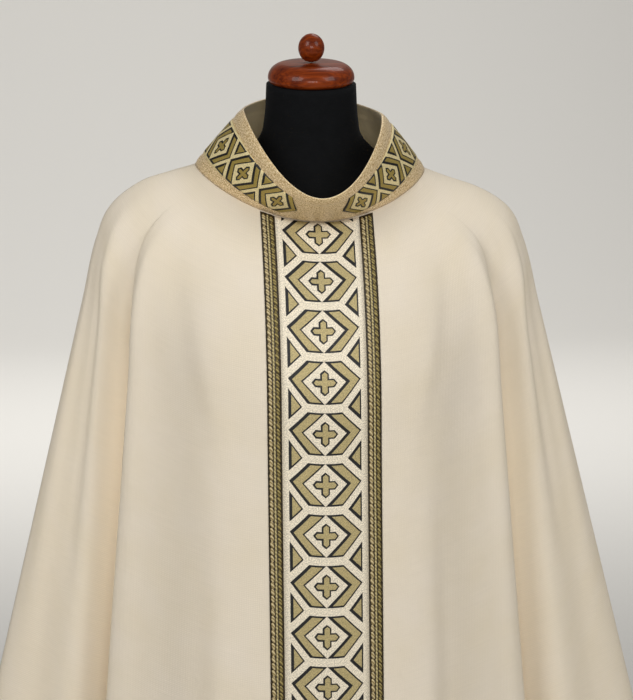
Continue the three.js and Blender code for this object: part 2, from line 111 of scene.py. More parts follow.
# down along the cloth, then the ring's columns
SECTION_DOWN = (0, 11, 44, 77, 108, 148, 186)
SECTIONS = rings(
    (135, -71, 93, 1399, 1460, 1474, 4),
    (146, -78, 101, 1392, 1455, 1467, 4),
    (180, -96, 118, 1365, 1444, 1445, 6),
    (215, -115, 131, 1333, 1433, 1414, 7),
    (243, -131, 141, 1300, 1417, 1378, 6),
    (265, -146, 149, 1256, 1394, 1331, 5),
    (277, -157, 155, 1206, 1364, 1284, 5),
)
RIM = rings((90, -147, 88, 1422, 1525, 1541, 3))[0]
FORM_LOWER = rings(
    (164, -96, 108, 835, 835, 835),
    (172, -104, 118, 905, 905, 905),
    (150, -96, 98, 1075, 1075, 1080),
    (177, -117, 124, 1180, 1235, 1215),
    (189, -119, 131, 1226, 1322, 1285),
    (206, -116, 132, 1268, 1384, 1336),
    (214, -112, 130, 1304, 1422, 1382),
)
FORM_NECK = rings(
    (92, -64, 70, 1409, 1470, 1486),
    (67, -63, 54, 1436, 1492, 1510),
    (60, -66, 45, 1508, 1519, 1530, 0, 1),
    (57.5, -70, 44, 1553, 1561, 1569, 0, 1),
)

# One row a fold line, from the centre to the shoulder seam: place round the cloth, angle on the cap,
# place in plan, depth of its hollow, drift of the left one, and its painted light and shade (above 0 painted
# paler, below 0 darker).
FOLD_COLUMNS = ("cloth", "ring", "x", "y", "hollow", "drift", "painted_light_shade")
FRONT_FOLDS = (
    (0, 0, 0, -188, 0, 0, 0),
    (0.1, 14, 80, -187, 0, 0, 0),
    (0.2, 27, 143, -180, 1, 8, -0.15),
    (0.28, 36, 196, -158, 3, 14, -0.9),
    (0.35, 44, 250, -165, -1, 20, -0.5),
    (0.42, 52, 304, -150, -7, 24, 0.1),
    (0.45, 54.5, 298, -126, 6, 24, 0.6),
    (0.6, 59, 104, -66, 30, 16, 0.7),
    (0.72, 65, 262, -62, 18, 14, 0.7),
    (0.81, 72.5, 364, -112, 1, 10, 0.2),
    (0.9, 80.5, 452, -60, 2, 4, 0.35),
    (1, 90, 556, 4, 0, 0, 0),
)
BACK_FOLDS = (
    (0, 0, 0, 212, 0, 0, 0),
    (0.1, 14, 82, 210, 0, 0, 0),
    (0.19, 26, 145, 196, 1, -3, -0.15),
    (0.27, 35, 205, 170, 3, -5, -0.9),
    (0.34, 43, 262, 182, -2, -6, -0.5),
    (0.43, 53, 326, 154, -6, -6, 0.1),
    (0.46, 55.5, 318, 130, 6, -6, 0.6),
    (0.61, 60, 118, 72, 28, -3, 0.7),
    (0.73, 66, 276, 70, 16, -3, 0.7),
    (0.82, 73.5, 378, 122, 1, -5, 0.2),
    (0.91, 81.5, 460, 66, 2, -2, 0.35),
    (1, 90, 556, 4, 0, 0, 0),
)

# Soft creases laid on the folds: place round the cloth and down it at the crease's top and foot, its
# half width in shares of the cloth, and its height (a trough is negative).
CREASE_COLUMNS = ("cloth_top", "cloth_foot", "down_top", "down_foot", "half_width", "height")
FRONT_CREASES = (
    (-0.37, -0.2, 70, 330, 0.035, -2.2),
    (-0.31, -0.15, 90, 360, 0.03, 1.6),
    (0.35, 0.19, 60, 300, 0.035, -2.4),
    (0.29, 0.14, 100, 340, 0.028, 1.5),
    (-0.235, -0.25, 330, 1036, 0.026, -4.6),
    (-0.19, -0.205, 420, 1036, 0.02, 3.4),
    (0.24, 0.255, 300, 1036, 0.024, -4.4),
    (0.195, 0.2, 480, 1036, 0.022, 3.4),
    (0.84, 0.87, 120, 640, 0.02, -4.0),
    (-0.85, -0.86, 140, 700, 0.022, -3.6),
    (0.395, 0.385, 200, 800, 0.012, 1.4),
    (-0.39, -0.38, 190, 760, 0.014, 1.6),
    (-0.955, -0.94, 170, 900, 0.02, 3.0),
    (0.95, 0.945, 190, 860, 0.02, 2.6),
)
BACK_CREASES = (
    (-0.33, -0.18, 80, 340, 0.035, -2.0),
    (0.36, 0.2, 60, 320, 0.03, -2.4),
    (-0.24, -0.26, 300, 1036, 0.02, -3.2),
    (0.225, 0.24, 350, 1036, 0.022, -2.8),
    (-0.19, -0.2, 450, 1036, 0.02, 2.2),
    (0.18, 0.19, 380, 1036, 0.018, 2.0),
    (0.86, 0.88, 130, 700, 0.02, -3.6),
    (-0.87, -0.86, 150, 640, 0.02, -3.8),
    (-0.95, -0.945, 180, 880, 0.02, 2.6),
)


# ---- small maths ------------------------------------------------------------------------------
def smoothstep(x, low, high):
    f = np.clip((x - low) / (high - low), 0, 1)
    return f * f * (3 - 2 * f)


def through(knots, rows, x):
    """Smooth curve through rows of numbers at the given knots, read at each x.

    rows is (knots, columns), or (knots, len(x), columns) where each x has rows of its own."""
    knots = np.asarray(knots, float)
    rows = np.asarray(rows, float)
    gaps = np.diff(knots)
    wide = gaps.reshape(-1, *[1] * (rows.ndim - 1))
    rises = np.diff(rows, axis=0) / wide
    inner = (rises[:-1] * wide[1:] + rises[1:] * wide[:-1]) / (wide[1:] + wide[:-1])
    slopes = np.concatenate([rises[:1], inner, rises[-1:]])
    i = np.clip(np.searchsorted(knots, x, side="left") - 1, 0, len(gaps) - 1)
    f = ((x - knots[i]) / gaps[i])[:, None]
    here = (i,) if rows.ndim == 2 else (i, np.arange(len(x)))
    there = (i + 1, *here[1:])
    span = gaps[i][:, None]
    value = rows[here] + (rows[there] - rows[here]) * f * f * (3 - 2 * f)
    value += span * slopes[here] * f * (1 - f) ** 2
    value += span * slopes[there] * f * f * (f - 1)
    return value


def ring_point(ring, degrees):
    """Points of a ring at angles from the centre front: an oval in plan that climbs to its sides."""
    a = np.radians(np.asarray(degrees, float))
    front = np.cos(a) > 0
    end_y = np.where(front, ring["front_y"], ring["back_y"])
    end_z = np.where(front, ring["front_z"], ring["back_z"])
    middle_y = (ring["front_y"] + ring["back_y"]) / 2
    c = np.abs(np.cos(a))
    climb = CLIMB_SHARE * (1 - c) ** CLIMB_POWER + (1 - CLIMB_SHARE) * (1 - c * c)
    if ring["planar"]:
        climb = 1 - c
    z = end_z + (ring["side_z"] - end_z) * climb - ring["lean"] * np.sin(a)
    return np.stack([ring["half_width"] * np.sin(a), middle_y + (end_y - middle_y) * c, z], -1)


# ---- the cloth's surface -----------------------------------------------------------------------
def fold_lines():
    """Fold lines once round, with a few beyond each end so that the curve closes smoothly."""

    def quarter(folds, start, direction, side):
        made = []
        for row in folds:
            fold = dict(zip(FOLD_COLUMNS, row))
            ring = fold["ring"] + (RING_DRIFT * fold["drift"] if side < 0 else 0)
            x = side * fold["x"] - (fold["drift"] if side < 0 else 0)
            angle = side * ring if folds is FRONT_FOLDS else side * (180 - ring)
            at = start + direction * fold["cloth"]
            made.append((at, angle, x, fold["y"], fold["hollow"], fold["painted_light_shade"]))
        return made

    right = quarter(FRONT_FOLDS, 0, 1, 1) + quarter(BACK_FOLDS, 2, -1, 1)[::-1][1:]
    left = quarter(FRONT_FOLDS, 0, -1, -1) + quarter(BACK_FOLDS, -2, 1, -1)[::-1][1:]
    half = left[::-1][:-1] + right

    def turned(lines, by):
        return [(at + by, angle + by * 90, *rest) for at, angle, *rest in lines]

    return turned(half[-4:-1], -4) + half + turned(half[1:4], 4)


FOLD_TABLE = np.array(fold_lines())


def wrapped(cloth):
    cloth = np.asarray(cloth, float)
    return np.where(cloth > 2, cloth - 4, cloth)


def on_folds(cloth):
    """Ring angle, plan x, plan y, hollow and painted light and shade at places round the cloth."""
    return through(FOLD_TABLE[:, 0], FOLD_TABLE[:, 1:], wrapped(cloth))


def cloth_length(cloth):
    cloth = np.abs(wrapped(cloth))
    from_centre = np.where(cloth <= 1, cloth, 2 - cloth)
    centre = np.where(cloth <= 1, FRONT_LENGTH, BACK_LENGTH)
    return centre - (centre - SIDE_LENGTH) * from_centre**HEM_ROUNDNESS


def cloth_point(cloth, down):
    """Points of the cloth's outer face: the smooth cap, then each fold's straight fall to the hem."""
    folds = on_folds(cloth)
    cap = np.stack([ring_point(section, folds[:, 0]) for section in SECTIONS])
    top = cap[-1]
    lean = np.column_stack([folds[:, 1], folds[:, 2], np.full(len(folds), PLAN_LEVEL)]) - top
    lean /= np.linalg.norm(lean, axis=1)[:, None]
    used = np.linalg.norm(np.diff(cap, axis=0), axis=2).sum(0)
    fall = (cloth_length(cloth) - used)[:, None]
    rows = np.concatenate([cap, [top + lean * share * fall for share in FALL_ROWS]])
    knots = [*SECTION_DOWN, *(SECTION_DOWN[-1] + f * (FALL_END - SECTION_DOWN[-1]) for f in FALL_ROWS)]
    point = through(knots, rows, np.asarray(down, float))
    opened = smoothstep(down, HOLLOW_FROM, HOLLOW_DEEPEST)
    opened = opened * (1 - smoothstep(down, HOLLOW_DEEPEST, HOLLOW_TO))
    side, face = np.sign(point[:, 0]), np.sign(point[:, 1])
    inwards = np.column_stack([HOLLOW_X * side, HOLLOW_Y * face, 0 * side])
    return point + inwards * (folds[:, 3] * opened)[:, None]


def cloth_normal(cloth, down):
    """Outward unit normals of the cloth."""
    cloth, down = np.asarray(cloth, float), np.asarray(down, float)
    across = cloth_point(cloth + STEP_AROUND, down) - cloth_point(cloth - STEP_AROUND, down)
    below, above = np.minimum(down + STEP_DOWN, FALL_END), np.maximum(down - STEP_DOWN, 0)
    falling = cloth_point(cloth, below) - cloth_point(cloth, above)
    normal = np.cross(falling, across)
    return normal / np.linalg.norm(normal, axis=1)[:, None]


def cloth_at_width(width, down, centre):
    """Places round the cloth that lie a given width from a panel's centre line."""
    down = np.asarray(down, float)
    turn = math.copysign(1, width) * (1 if centre == 0 else -1)
    low, high = np.zeros(len(down)), np.full(len(down), TRIM_REACH)
    for _ in range(HALVINGS):
        middle = (low + high) / 2
        short = np.abs(cloth_point(centre + turn * middle, down)[:, 0]) < abs(width)
        low, high = np.where(short, middle, low), np.where(short, high, middle)
    return centre + turn * low


def crease_height(cloth, down, creases):
    """Height of the soft creases above the plain folds."""
    height = np.zeros(len(cloth))
    for row in creases:
        crease = dict(zip(CREASE_COLUMNS, row))
        f = (down - crease["down_top"]) / (crease["down_foot"] - crease["down_top"])
        middle = crease["cloth_top"] + (crease["cloth_foot"] - crease["cloth_top"]) * np.clip(f, 0, 1)
        open_foot = crease["down_foot"] >= FALL_END
        fade = smoothstep(f, -0.05, 0.35) * (1 if open_foot else 1 - smoothstep(f, 0.6, 1.05))
        height += crease["height"] * fade * np.exp(-(((cloth - middle) / crease["half_width"]) ** 2))
    return height


def hand(cloth, down):
    """The slight unevenness of cloth that hangs freely."""
    waves = np.zeros(len(cloth))
    for high, around, along, phase in HAND_WAVES:
        waves += high * np.sin(cloth * around + down * along + phase)
    return HAND_HEIGHT * waves * smoothstep(down, *HAND_FADE)


# ---- meshes --------------------------------------------------------------------------------------
def new_object(name, points, faces, uvs=None, attributes=None):
    """Object from points in millimetres, with one UV for each point."""
    mesh = bpy.data.meshes.new(name)
    mesh.from_pydata([tuple(p) for p in np.asarray(points) * MM], [], [tuple(f) for f in faces])
    mesh.validate()
    if uvs is not None:
        corner = np.zeros(len(mesh.loops), dtype=np.int32)
        mesh.loops.foreach_get("vertex_index", corner)
        layer = mesh.uv_layers.new(name="cut")
        layer.data.foreach_set("uv", (np.asarray(uvs)[corner] * MM).astype(np.float32).ravel())
    for key, values in (attributes or {}).items():
        mesh.attributes.new(key, "FLOAT", "POINT").data.foreach_set("value", np.asarray(values, np.float32))
    mesh.polygons.foreach_set("use_smooth", [True] * len(mesh.polygons))
    mesh.update()
    made = bpy.data.objects.new(name, mesh)
    bpy.context.scene.collection.objects.link(made)
    return made


def wall(outer, inner, flip=False):
    """Points and faces of a closed wall between two grids, [column, row, 3], outer facing out."""
    columns, rows = outer.shape[:2]
    points = np.concatenate([outer.reshape(-1, 3), inner.reshape(-1, 3)])
    index = np.arange(2 * columns * rows).reshape(2, columns, rows)
    a, b = index[:, :-1, :-1], index[:, :-1, 1:]
    c, d = index[:, 1:, 1:], index[:, 1:, :-1]
    quads = [
        np.stack([a[0], b[0], c[0], d[0]], -1).reshape(-1, 4),
        np.stack([a[1], d[1], c[1], b[1]], -1).reshape(-1, 4),
    ]
    for row, order in ((0, (0, 1, 2, 3)), (-1, (3, 2, 1, 0))):
        edge = index[:, :, row]
        ring = np.stack([edge[0, :-1], edge[0, 1:], edge[1, 1:], edge[1, :-1]], -1)
        quads.append(ring[:, order])
    for column, order in ((0, (3, 2, 1, 0)), (-1, (0, 1, 2, 3))):
        edge = index[:, column]
        side = np.stack([edge[0, :-1], edge[0, 1:], edge[1, 1:], edge[1, :-1]], -1)
        quads.append(side[:, order])
    faces = np.concatenate(quads)
    return points, faces[:, ::-1] if flip else faces


def arc_lengths(grid, axis):
    """Distance along a grid's columns or rows, from its first point."""
    steps = np.linalg.norm(np.diff(grid, axis=axis), axis=2)
    lengths = np.zeros(grid.shape[:2])
    if axis == 0:
        lengths[1:] = np.cumsum(steps, axis=0)
    else:
        lengths[:, 1:] = np.cumsum(steps, axis=1)
    return lengths


def turned(profile, segments, name, place=Matrix()):
    """Turned solid from rows of [radius, height] that start and end on its axis."""
    inner = [p for p in profile if p[0] > 1e-6]
    points = [(0, 0, profile[0][1])]
    for radius, height in inner:
        for i in range(segments):
            a = 2 * math.pi * i / segments
            points.append((radius * math.cos(a), radius * math.sin(a), height))
    points.append((0, 0, profile[-1][1]))
    faces = []
    for i in range(segments):
        j = (i + 1) % segments
        faces.append((0, 1 + j, 1 + i))
        for ring in range(len(inner) - 1):
            low, high = 1 + ring * segments, 1 + (ring + 1) * segments
            faces.append((low + i, low + j, high + j, high + i))
        top = 1 + (len(inner) - 1) * segments
        faces.append((top + i, top + j, len(points) - 1))
    placed = [place @ Vector(p) for p in points]
    return new_object(name, placed, faces)


def oval(centre_r, centre_z, r, z, start, end, count):
    """Points on an oval, for a turned profile."""
    angles = np.radians(np.linspace(start, end, count + 1))
    return [(centre_r + r * math.cos(a), centre_z + z * math.sin(a)) for a in angles]


# ---- materials --------------------------------------------------------------------------------
WAVE_TURN = math.pi / 10  # scale of a wave texture with bands one unit apart
VALLEY_PAINTED_SHADE = 0.16  # how much darker the valleys' painted shade makes the cloth at most
LAME_METAL = 0.22


def linear(code):
    """Linear colour of an sRGB hex value."""
    channels = [int(code[i : i + 2], 16) / 255 for i in (1, 3, 5)]
    return (*[c / 12.92 if c <= 0.04045 else ((c + 0.055) / 1.055) ** 2.4 for c in channels], 1.0)


def fill(tree, node, inputs):
    """Node with its inputs set to values, or linked to sockets."""
    for key, value in inputs.items():
        if isinstance(value, bpy.types.NodeSocket):
            tree.links.new(value, node.inputs[key])
        else:
            node.inputs[key].default_value = value
    return node


def add(tree, kind, inputs=None, **settings):
    """Node with its settings, values and links."""
    made = tree.nodes.new(kind)
    for key, value in settings.items():
        setattr(made, key, value)
    return fill(tree, made, inputs or {})


def new_material(name):
    """Material with an empty Principled surface: (material, tree, shader)."""
    material = bpy.data.materials.new(name)
    material.use_nodes = True
    tree = material.node_tree
    tree.nodes.clear()
    shader = add(tree, "ShaderNodeBsdfPrincipled")
    add(tree, "ShaderNodeOutputMaterial", {"Surface": shader.outputs[0]})
    return material, tree, shader


def maths(tree, operation, *values):
    """Output of one Math node."""
    return add(tree, "ShaderNodeMath", dict(enumerate(values)), operation=operation).outputs[0]


def blend(tree, factor, low, high):
    """Colour between two hex values or sockets: low at 0, high at 1."""
    low, high = (linear(end) if isinstance(end, str) else end for end in (low, high))
    return add(tree, "ShaderNodeMix", {"Factor": factor, 6: low, 7: high}, data_type="RGBA").outputs[2]


def spread(tree, value, low, high, to_low=0.0, to_high=1.0):
    """Value mapped from one range to another, and clamped to it."""
    inputs = {"Value": value, "From Min": low, "From Max": high, "To Min": to_low, "To Max": to_high}
    return add(tree, "ShaderNodeMapRange", inputs).outputs[0]


def stretched(tree, vector, scale):
    """Coordinates scaled along each axis."""
    return add(tree, "ShaderNodeMapping", {"Vector": vector, "Scale": scale}).outputs[0]


def noise(tree, vector, scale, detail, distortion=0.0):
    """Noise texture."""
    inputs = {"Vector": vector, "Scale": scale, "Detail": detail, "Distortion": distortion}
    return add(tree, "ShaderNodeTexNoise", inputs).outputs["Fac"]


def wave(tree, vector, scale, distortion, direction="X", detail_scale=1.0):
    """Bands of thread or cord."""
    inputs = {"Vector": vector, "Scale": scale, "Detail": 2}
    inputs |= {"Distortion": distortion, "Detail Scale": detail_scale}
    return add(tree, "ShaderNodeTexWave", inputs, bands_direction=direction).outputs["Fac"]


def relief(tree, height, strength, distance):
    """Normal from a height, for what is too fine to be a shape."""
    inputs = {"Height": height, "Strength": strength, "Distance": distance}
    return add(tree, "ShaderNodeBump", inputs).outputs[0]


def attribute(tree, name):
    """A mesh's own values."""
    return add(tree, "ShaderNodeAttribute", attribute_name=name).outputs["Fac"]


def object_coordinates(tree):
    """The piece's place in metres."""
    return add(tree, "ShaderNodeTexCoord").outputs["Object"]


def cloth_coordinates(tree):
    """The piece's own flat coordinates, in millimetres."""
    flat = add(tree, "ShaderNodeUVMap", uv_map="cut").outputs[0]
    per_metre = {0: flat, 1: (1 / MM, 1 / MM, 1 / MM)}
    return add(tree, "ShaderNodeVectorMath", per_metre, operation="MULTIPLY").outputs[0]


def ivory_wool(settings):
    """Fine ivory wool with silk: a close plain weave, matt, with a soft bloom at grazing angles."""
    material, tree, shader = new_material("ivory wool and silk")
    flat = cloth_coordinates(tree)
    # A 0.6 mm thread is too fine to show, so it is drawn at the spacing in the settings.
    turns = WAVE_TURN / settings.thread_spacing
    warp, weft = (wave(tree, flat, turns, 1.4, direction, 1.5) for direction in ("X", "Y"))
    weave = maths(tree, "MULTIPLY", warp, weft)
    slub = noise(tree, stretched(tree, flat, (0.02, 0.35, 1)), 1.0, 3)
    tint = spread(tree, noise(tree, flat, 0.012, 2), 0.3, 0.7)
    ground = blend(tree, tint, "#e8dcc9", "#e5d8c1")
    # Painted light and shade, matched against the photo: paler deep in the folds, darker in the valleys
    # beside the trims.
    painted_light_shade = attribute(tree, "painted_light_shade")
    with_fold_painted_light = blend(tree, painted_light_shade, ground, settings.fold_painted_light_colour)
    # Below zero it is painted shade, which draws the valleys darker.
    valley_painted_shade_depth = maths(tree, "MINIMUM", painted_light_shade, 0.0)
    fine = maths(tree, "MULTIPLY_ADD", weave, 0.06, 0.95)
    slubs = maths(tree, "MULTIPLY_ADD", slub, 0.06, -0.03)
    value = maths(tree, "MULTIPLY_ADD", valley_painted_shade_depth, VALLEY_PAINTED_SHADE, maths(tree, "ADD", fine, slubs))
    surface = {
        "Base Color": add(tree, "ShaderNodeHueSaturation", {"Color": with_fold_painted_light, "Value": value}).outputs[0],
        "Normal": relief(tree, maths(tree, "MULTIPLY_ADD", slub, 0.8, weave), 0.22, 0.0005),
        "Roughness": 0.78,
        "Sheen Weight": 0.08,
        "Sheen Roughness": 0.45,
        "Sheen Tint": linear("#fff6e4"),
        "Specular IOR Level": 0.25,
    }
    fill(tree, shader, surface)
    return material


def gold_lame(settings):
    """Gold lamé: flat metal threads on a silk ground, so it glints softly and shows its weft lines; glints
    are also painted into its colour.
    """
    material, tree, shader = new_material("gold lame")
    flat = cloth_coordinates(tree)
    weft = noise(tree, stretched(tree, flat, (0.25, 1.4, 1)), 1.0, 2)
    # The weft's lines are the lamé's own; the finer noise paints glints of light into its colour.
    weft_and_painted_glint = maths(tree, "MULTIPLY", weft, noise(tree, flat, 0.55, 2))
    colour = blend(tree, spread(tree, weft_and_painted_glint, 0.17, 0.33), settings.lame_dark, settings.lame_threads_and_glints)
    # The facing is plain satin without the metal, drawn paler than its own colour as painted light inside the
    # collar.
    facing = attribute(tree, "facing")
    surface = {
        "Base Color": blend(tree, facing, colour, settings.facing),
        "Metallic": maths(tree, "MULTIPLY_ADD", facing, -LAME_METAL, LAME_METAL),
        "Normal": relief(tree, weft, 0.3, 0.0006),
        "Roughness": 0.42,
        "Sheen Weight": 0.15,
    }
    fill(tree, shader, surface)
    return material


# The galloon's chart, in millimetres from a motif's middle: "across" runs between the points of its
# hexagon. Each shape lies where every one of its rows has across + along below its reach.
# Half a hexagon: to its flat, to its point, and along its slant.
MOTIF_FLAT, MOTIF_POINT, MOTIF_RUN = 27, 45.6, 24
SLANT = math.hypot(MOTIF_FLAT, MOTIF_RUN)
SLANT_REACH = MOTIF_POINT * MOTIF_FLAT / SLANT
CROSS_ARM, CROSS_TIP, CROSS_SLOPE = 5.5, 16.4, 0.807
POINT = math.hypot(1, CROSS_SLOPE)
CHART_COLUMNS = ("across", "along", "reach")
CHART = {
    "hexagon flat": ((0, 1, MOTIF_FLAT),),
    "hexagon slant": ((MOTIF_FLAT / SLANT, MOTIF_RUN / SLANT, SLANT_REACH),),
    "diamond": ((math.sqrt(0.5), math.sqrt(0.5), MOTIF_FLAT * math.sqrt(0.5)),),
    "cross arm along": ((1, 0, CROSS_ARM), (CROSS_SLOPE / POINT, 1 / POINT, CROSS_TIP / POINT)),
    "cross arm across": ((0, 1, CROSS_ARM), (1 / POINT, CROSS_SLOPE / POINT, CROSS_TIP / POINT)),
}
# Orphrey: motifs follow each other along; a triangle fills each gap at the edge.
ORPHREY_PITCH = 64.5
ORPHREY_FIRST_MOTIF = 18.0  # from the trim's upper end
WEDGE_SLOPE, WEDGE_TIP = 0.873, 28.3
WEDGE = math.hypot(1, WEDGE_SLOPE)
ORPHREY_CHART = {
    "edge": ((1, 0, MOTIF_POINT),),
    "wedge": ((-1 / WEDGE, -WEDGE_SLOPE / WEDGE, -(WEDGE_TIP + WEDGE_SLOPE * ORPHREY_PITCH / 2) / WEDGE),),
}
# Collar: the same motif turned point to point, its triangles on the two borders.
BAND_PITCH = 94.8
BAND_WEDGE_GAP = 6.5
BAND_CHART = {
    "edge": ((0, 1, MOTIF_FLAT),),
    "wedge": ((-MOTIF_FLAT / SLANT, -MOTIF_RUN / SLANT, -(SLANT_REACH + BAND_WEDGE_GAP)),),
}
THIN_LINE, FLAT_LINE, THICK_LINE = 1.8, 2.4, 3.8
BAND_BOLD = 1.3  # the collar's outlines are this much wider


def from_motif(tree, value, pitch):
    """Signed distance from the nearest multiple of the pitch."""
    turned_value = maths(tree, "FLOORED_MODULO", maths(tree, "ADD", value, pitch / 2), pitch)
    return maths(tree, "SUBTRACT", turned_value, pitch / 2)


def woven_galloon(name, settings, chart, pitch, motifs_along, ground_colour, motif_colour, bold=1.0):
    """Lurex galloon: cream ground, khaki gold motifs and black outlines, woven in one cloth.

    The metal threads give a fine sparkle, from their metal and from glints painted into the colour; the
    outlines are heavier on one side of each motif."""
    material, tree, shader = new_material(name)
    flat = cloth_coordinates(tree)
    place = add(tree, "ShaderNodeSeparateXYZ", {0: flat})
    sideways, lengthways = place.outputs[0], place.outputs[1]
    if motifs_along:
        lengthways = from_motif(tree, lengthways, pitch)
    else:
        sideways = from_motif(tree, sideways, pitch)
    across, along = maths(tree, "ABSOLUTE", sideways), maths(tree, "ABSOLUTE", lengthways)
    left = maths(tree, "LESS_THAN", sideways, 0.0)

    distance = {}
    for shape, rows in {**CHART, **chart}.items():
        for row in rows:
            line = dict(zip(CHART_COLUMNS, row))
            part = maths(tree, "MULTIPLY_ADD", across, line["across"], -line["reach"])
            part = maths(tree, "MULTIPLY_ADD", along, line["along"], part)
            distance[shape] = maths(tree, "MAXIMUM", distance[shape], part) if shape in distance else part
    distance["beyond diamond"] = maths(tree, "MULTIPLY", distance["diamond"], -1.0)
    distance["hexagon"] = maths(tree, "MAXIMUM", distance["hexagon flat"], distance["hexagon slant"])
    shapes = {
        "cross": maths(tree, "MINIMUM", distance["cross arm along"], distance["cross arm across"]),
        "triangle": maths(tree, "MAXIMUM", distance["edge"], distance["wedge"]),
        "chevron": maths(tree, "MAXIMUM", distance["hexagon"], distance["beyond diamond"]),
    }
    inside = {shape: maths(tree, "LESS_THAN", reach, 0.0) for shape, reach in shapes.items()}
    gold = maths(tree, "MAXIMUM", inside["cross"], inside["triangle"])
    gold = maths(tree, "MAXIMUM", gold, inside["chevron"])

    # Each outline lies inside its shape, along one of its edges.
    thin, flat_line, thick = THIN_LINE * bold, FLAT_LINE * bold, THICK_LINE * bold
    thick_left = maths(tree, "MULTIPLY_ADD", left, thick - thin, thin)
    thick_right = maths(tree, "MULTIPLY_ADD", left, thin - thick, thick)
    cross_line = maths(tree, "MULTIPLY_ADD", left, 0.7, thin)
    outlines = (
        (distance["hexagon flat"], "chevron", flat_line),
        (distance["hexagon slant"], "chevron", thick_left),
        (distance["beyond diamond"], "chevron", thick_right),
        (distance["edge"], "triangle", thick_left if motifs_along else thin),
        (distance["wedge"], "triangle", thick_right),
        (shapes["cross"], "cross", cross_line),
    )
    black = None
    for edge, shape, width in outlines:
        near = maths(tree, "GREATER_THAN", maths(tree, "ADD", edge, width), 0.0)
        line = maths(tree, "MULTIPLY", near, inside[shape])
        black = line if black is None else maths(tree, "MAXIMUM", black, line)

    # Twill of 0.4 mm metal threads, drawn at 1.7 mm, and a painted sparkle: its ribs and a fine noise make
    # the colour brighter and darker.
    rib_place = add(tree, "ShaderNodeMapping", {"Vector": flat, "Rotation": (0, 0, 0.5)}).outputs[0]
    grain = maths(tree, "MULTIPLY_ADD", wave(tree, rib_place, 0.19, 2.0), 0.22, noise(tree, flat, 0.62, 1))
    level = spread(tree, grain, 0.36, 0.86, 0.62, 1.3)
    ground = blend(tree, gold, ground_colour, motif_colour)
    with_painted_sparkle = add(tree, "ShaderNodeHueSaturation", {"Color": ground, "Value": level}).outputs[0]
    dull = maths(tree, "SUBTRACT", 1.0, black)
    surface = {
        "Base Color": blend(tree, black, with_painted_sparkle, settings.outline),
        "Metallic": maths(tree, "MULTIPLY", maths(tree, "MULTIPLY_ADD", gold, 0.2, 0.15), dull),
        "Normal": relief(tree, maths(tree, "MULTIPLY_ADD", black, -0.8, grain), 0.45, 0.0007),
        "Roughness": 0.5,
    }
    fill(tree, shader, surface)
    return material


def cord_material(name, dark, light, metallic):
    """Twisted viscose and metal cord: satin, with its twist as fine slanted lines."""
    material, tree, shader = new_material(name)
    twist = wave(tree, object_coordinates(tree), 120.0, 1.0, "DIAGONAL")
    surface = {
        "Base Color": blend(tree, twist, dark, light),
        "Normal": relief(tree, twist, 0.4, 0.0004),
        "Metallic": metallic,
        "Roughness": 0.5,
    }
    fill(tree, shader, surface)
    return material


def black_jersey():
    """Cotton jersey stretched over the form: matt black with fine knit lines and a slight bloom."""
    material, tree, shader = new_material("black cotton jersey")
    spot = object_coordinates(tree)
    # Knit wales 1 mm apart, drawn at 2.5 mm.
    knit = wave(tree, spot, 126.0, 0.6, "Z")
    surface = {
        "Base Color": blend(tree, noise(tree, spot, 90.0, 3), "#08090a", "#101113"),
        "Normal": relief(tree, knit, 0.25, 0.0004),
        "Roughness": 0.85,
        "Sheen Weight": 0.03,
        "Sheen Roughness": 0.4,
        "Specular IOR Level": 0.1,
    }
    fill(tree, shader, surface)
    return material


def varnished_beech():
    """Turned beech, stained red-brown under a thick gloss varnish: long grain and clear highlights."""
    material, tree, shader = new_material("stained and varnished beech")
    # Grain 2 to 4 mm wide runs along X.
    run = stretched(tree, object_coordinates(tree), (0.12, 1, 1))
    grain = noise(tree, run, 230.0, 5, 0.7)
    mixed = maths(tree, "MULTIPLY_ADD", noise(tree, run, 60.0, 2), 0.6, grain)
    surface = {
        "Base Color": blend(tree, spread(tree, mixed, 0.55, 1.0), "#451002", "#8a380a"),
        "Normal": relief(tree, grain, 0.08, 0.0002),
        "Roughness": 0.4,
        "Specular IOR Level": 0.12,
        "Coat Weight": 0.22,
        "Coat Roughness": 0.08,
    }
    fill(tree, shader, surface)
    return material


def metal_finish(name, colour, roughness, metallic, grain_scale):
    """Metal of the stand, with the fine unevenness of its finish."""
    material, tree, shader = new_material(name)
    grain = noise(tree, stretched(tree, object_coordinates(tree), (1, 1, 0.05)), grain_scale, 3)
    surface = {
        "Base Color": linear(colour),
        "Roughness": spread(tree, grain, 0, 1, roughness - 0.08, roughness + 0.08),
        "Normal": relief(tree, grain, 0.06, 0.0002),
        "Metallic": metallic,
    }
    fill(tree, shader, surface)
    return material


def pale_floor():
    """Matt pale studio floor."""
    material, tree, shader = new_material("pale studio floor")
    fill(tree, shader, {"Base Color": linear("#d9d6d0"), "Roughness": 0.9})
    return material


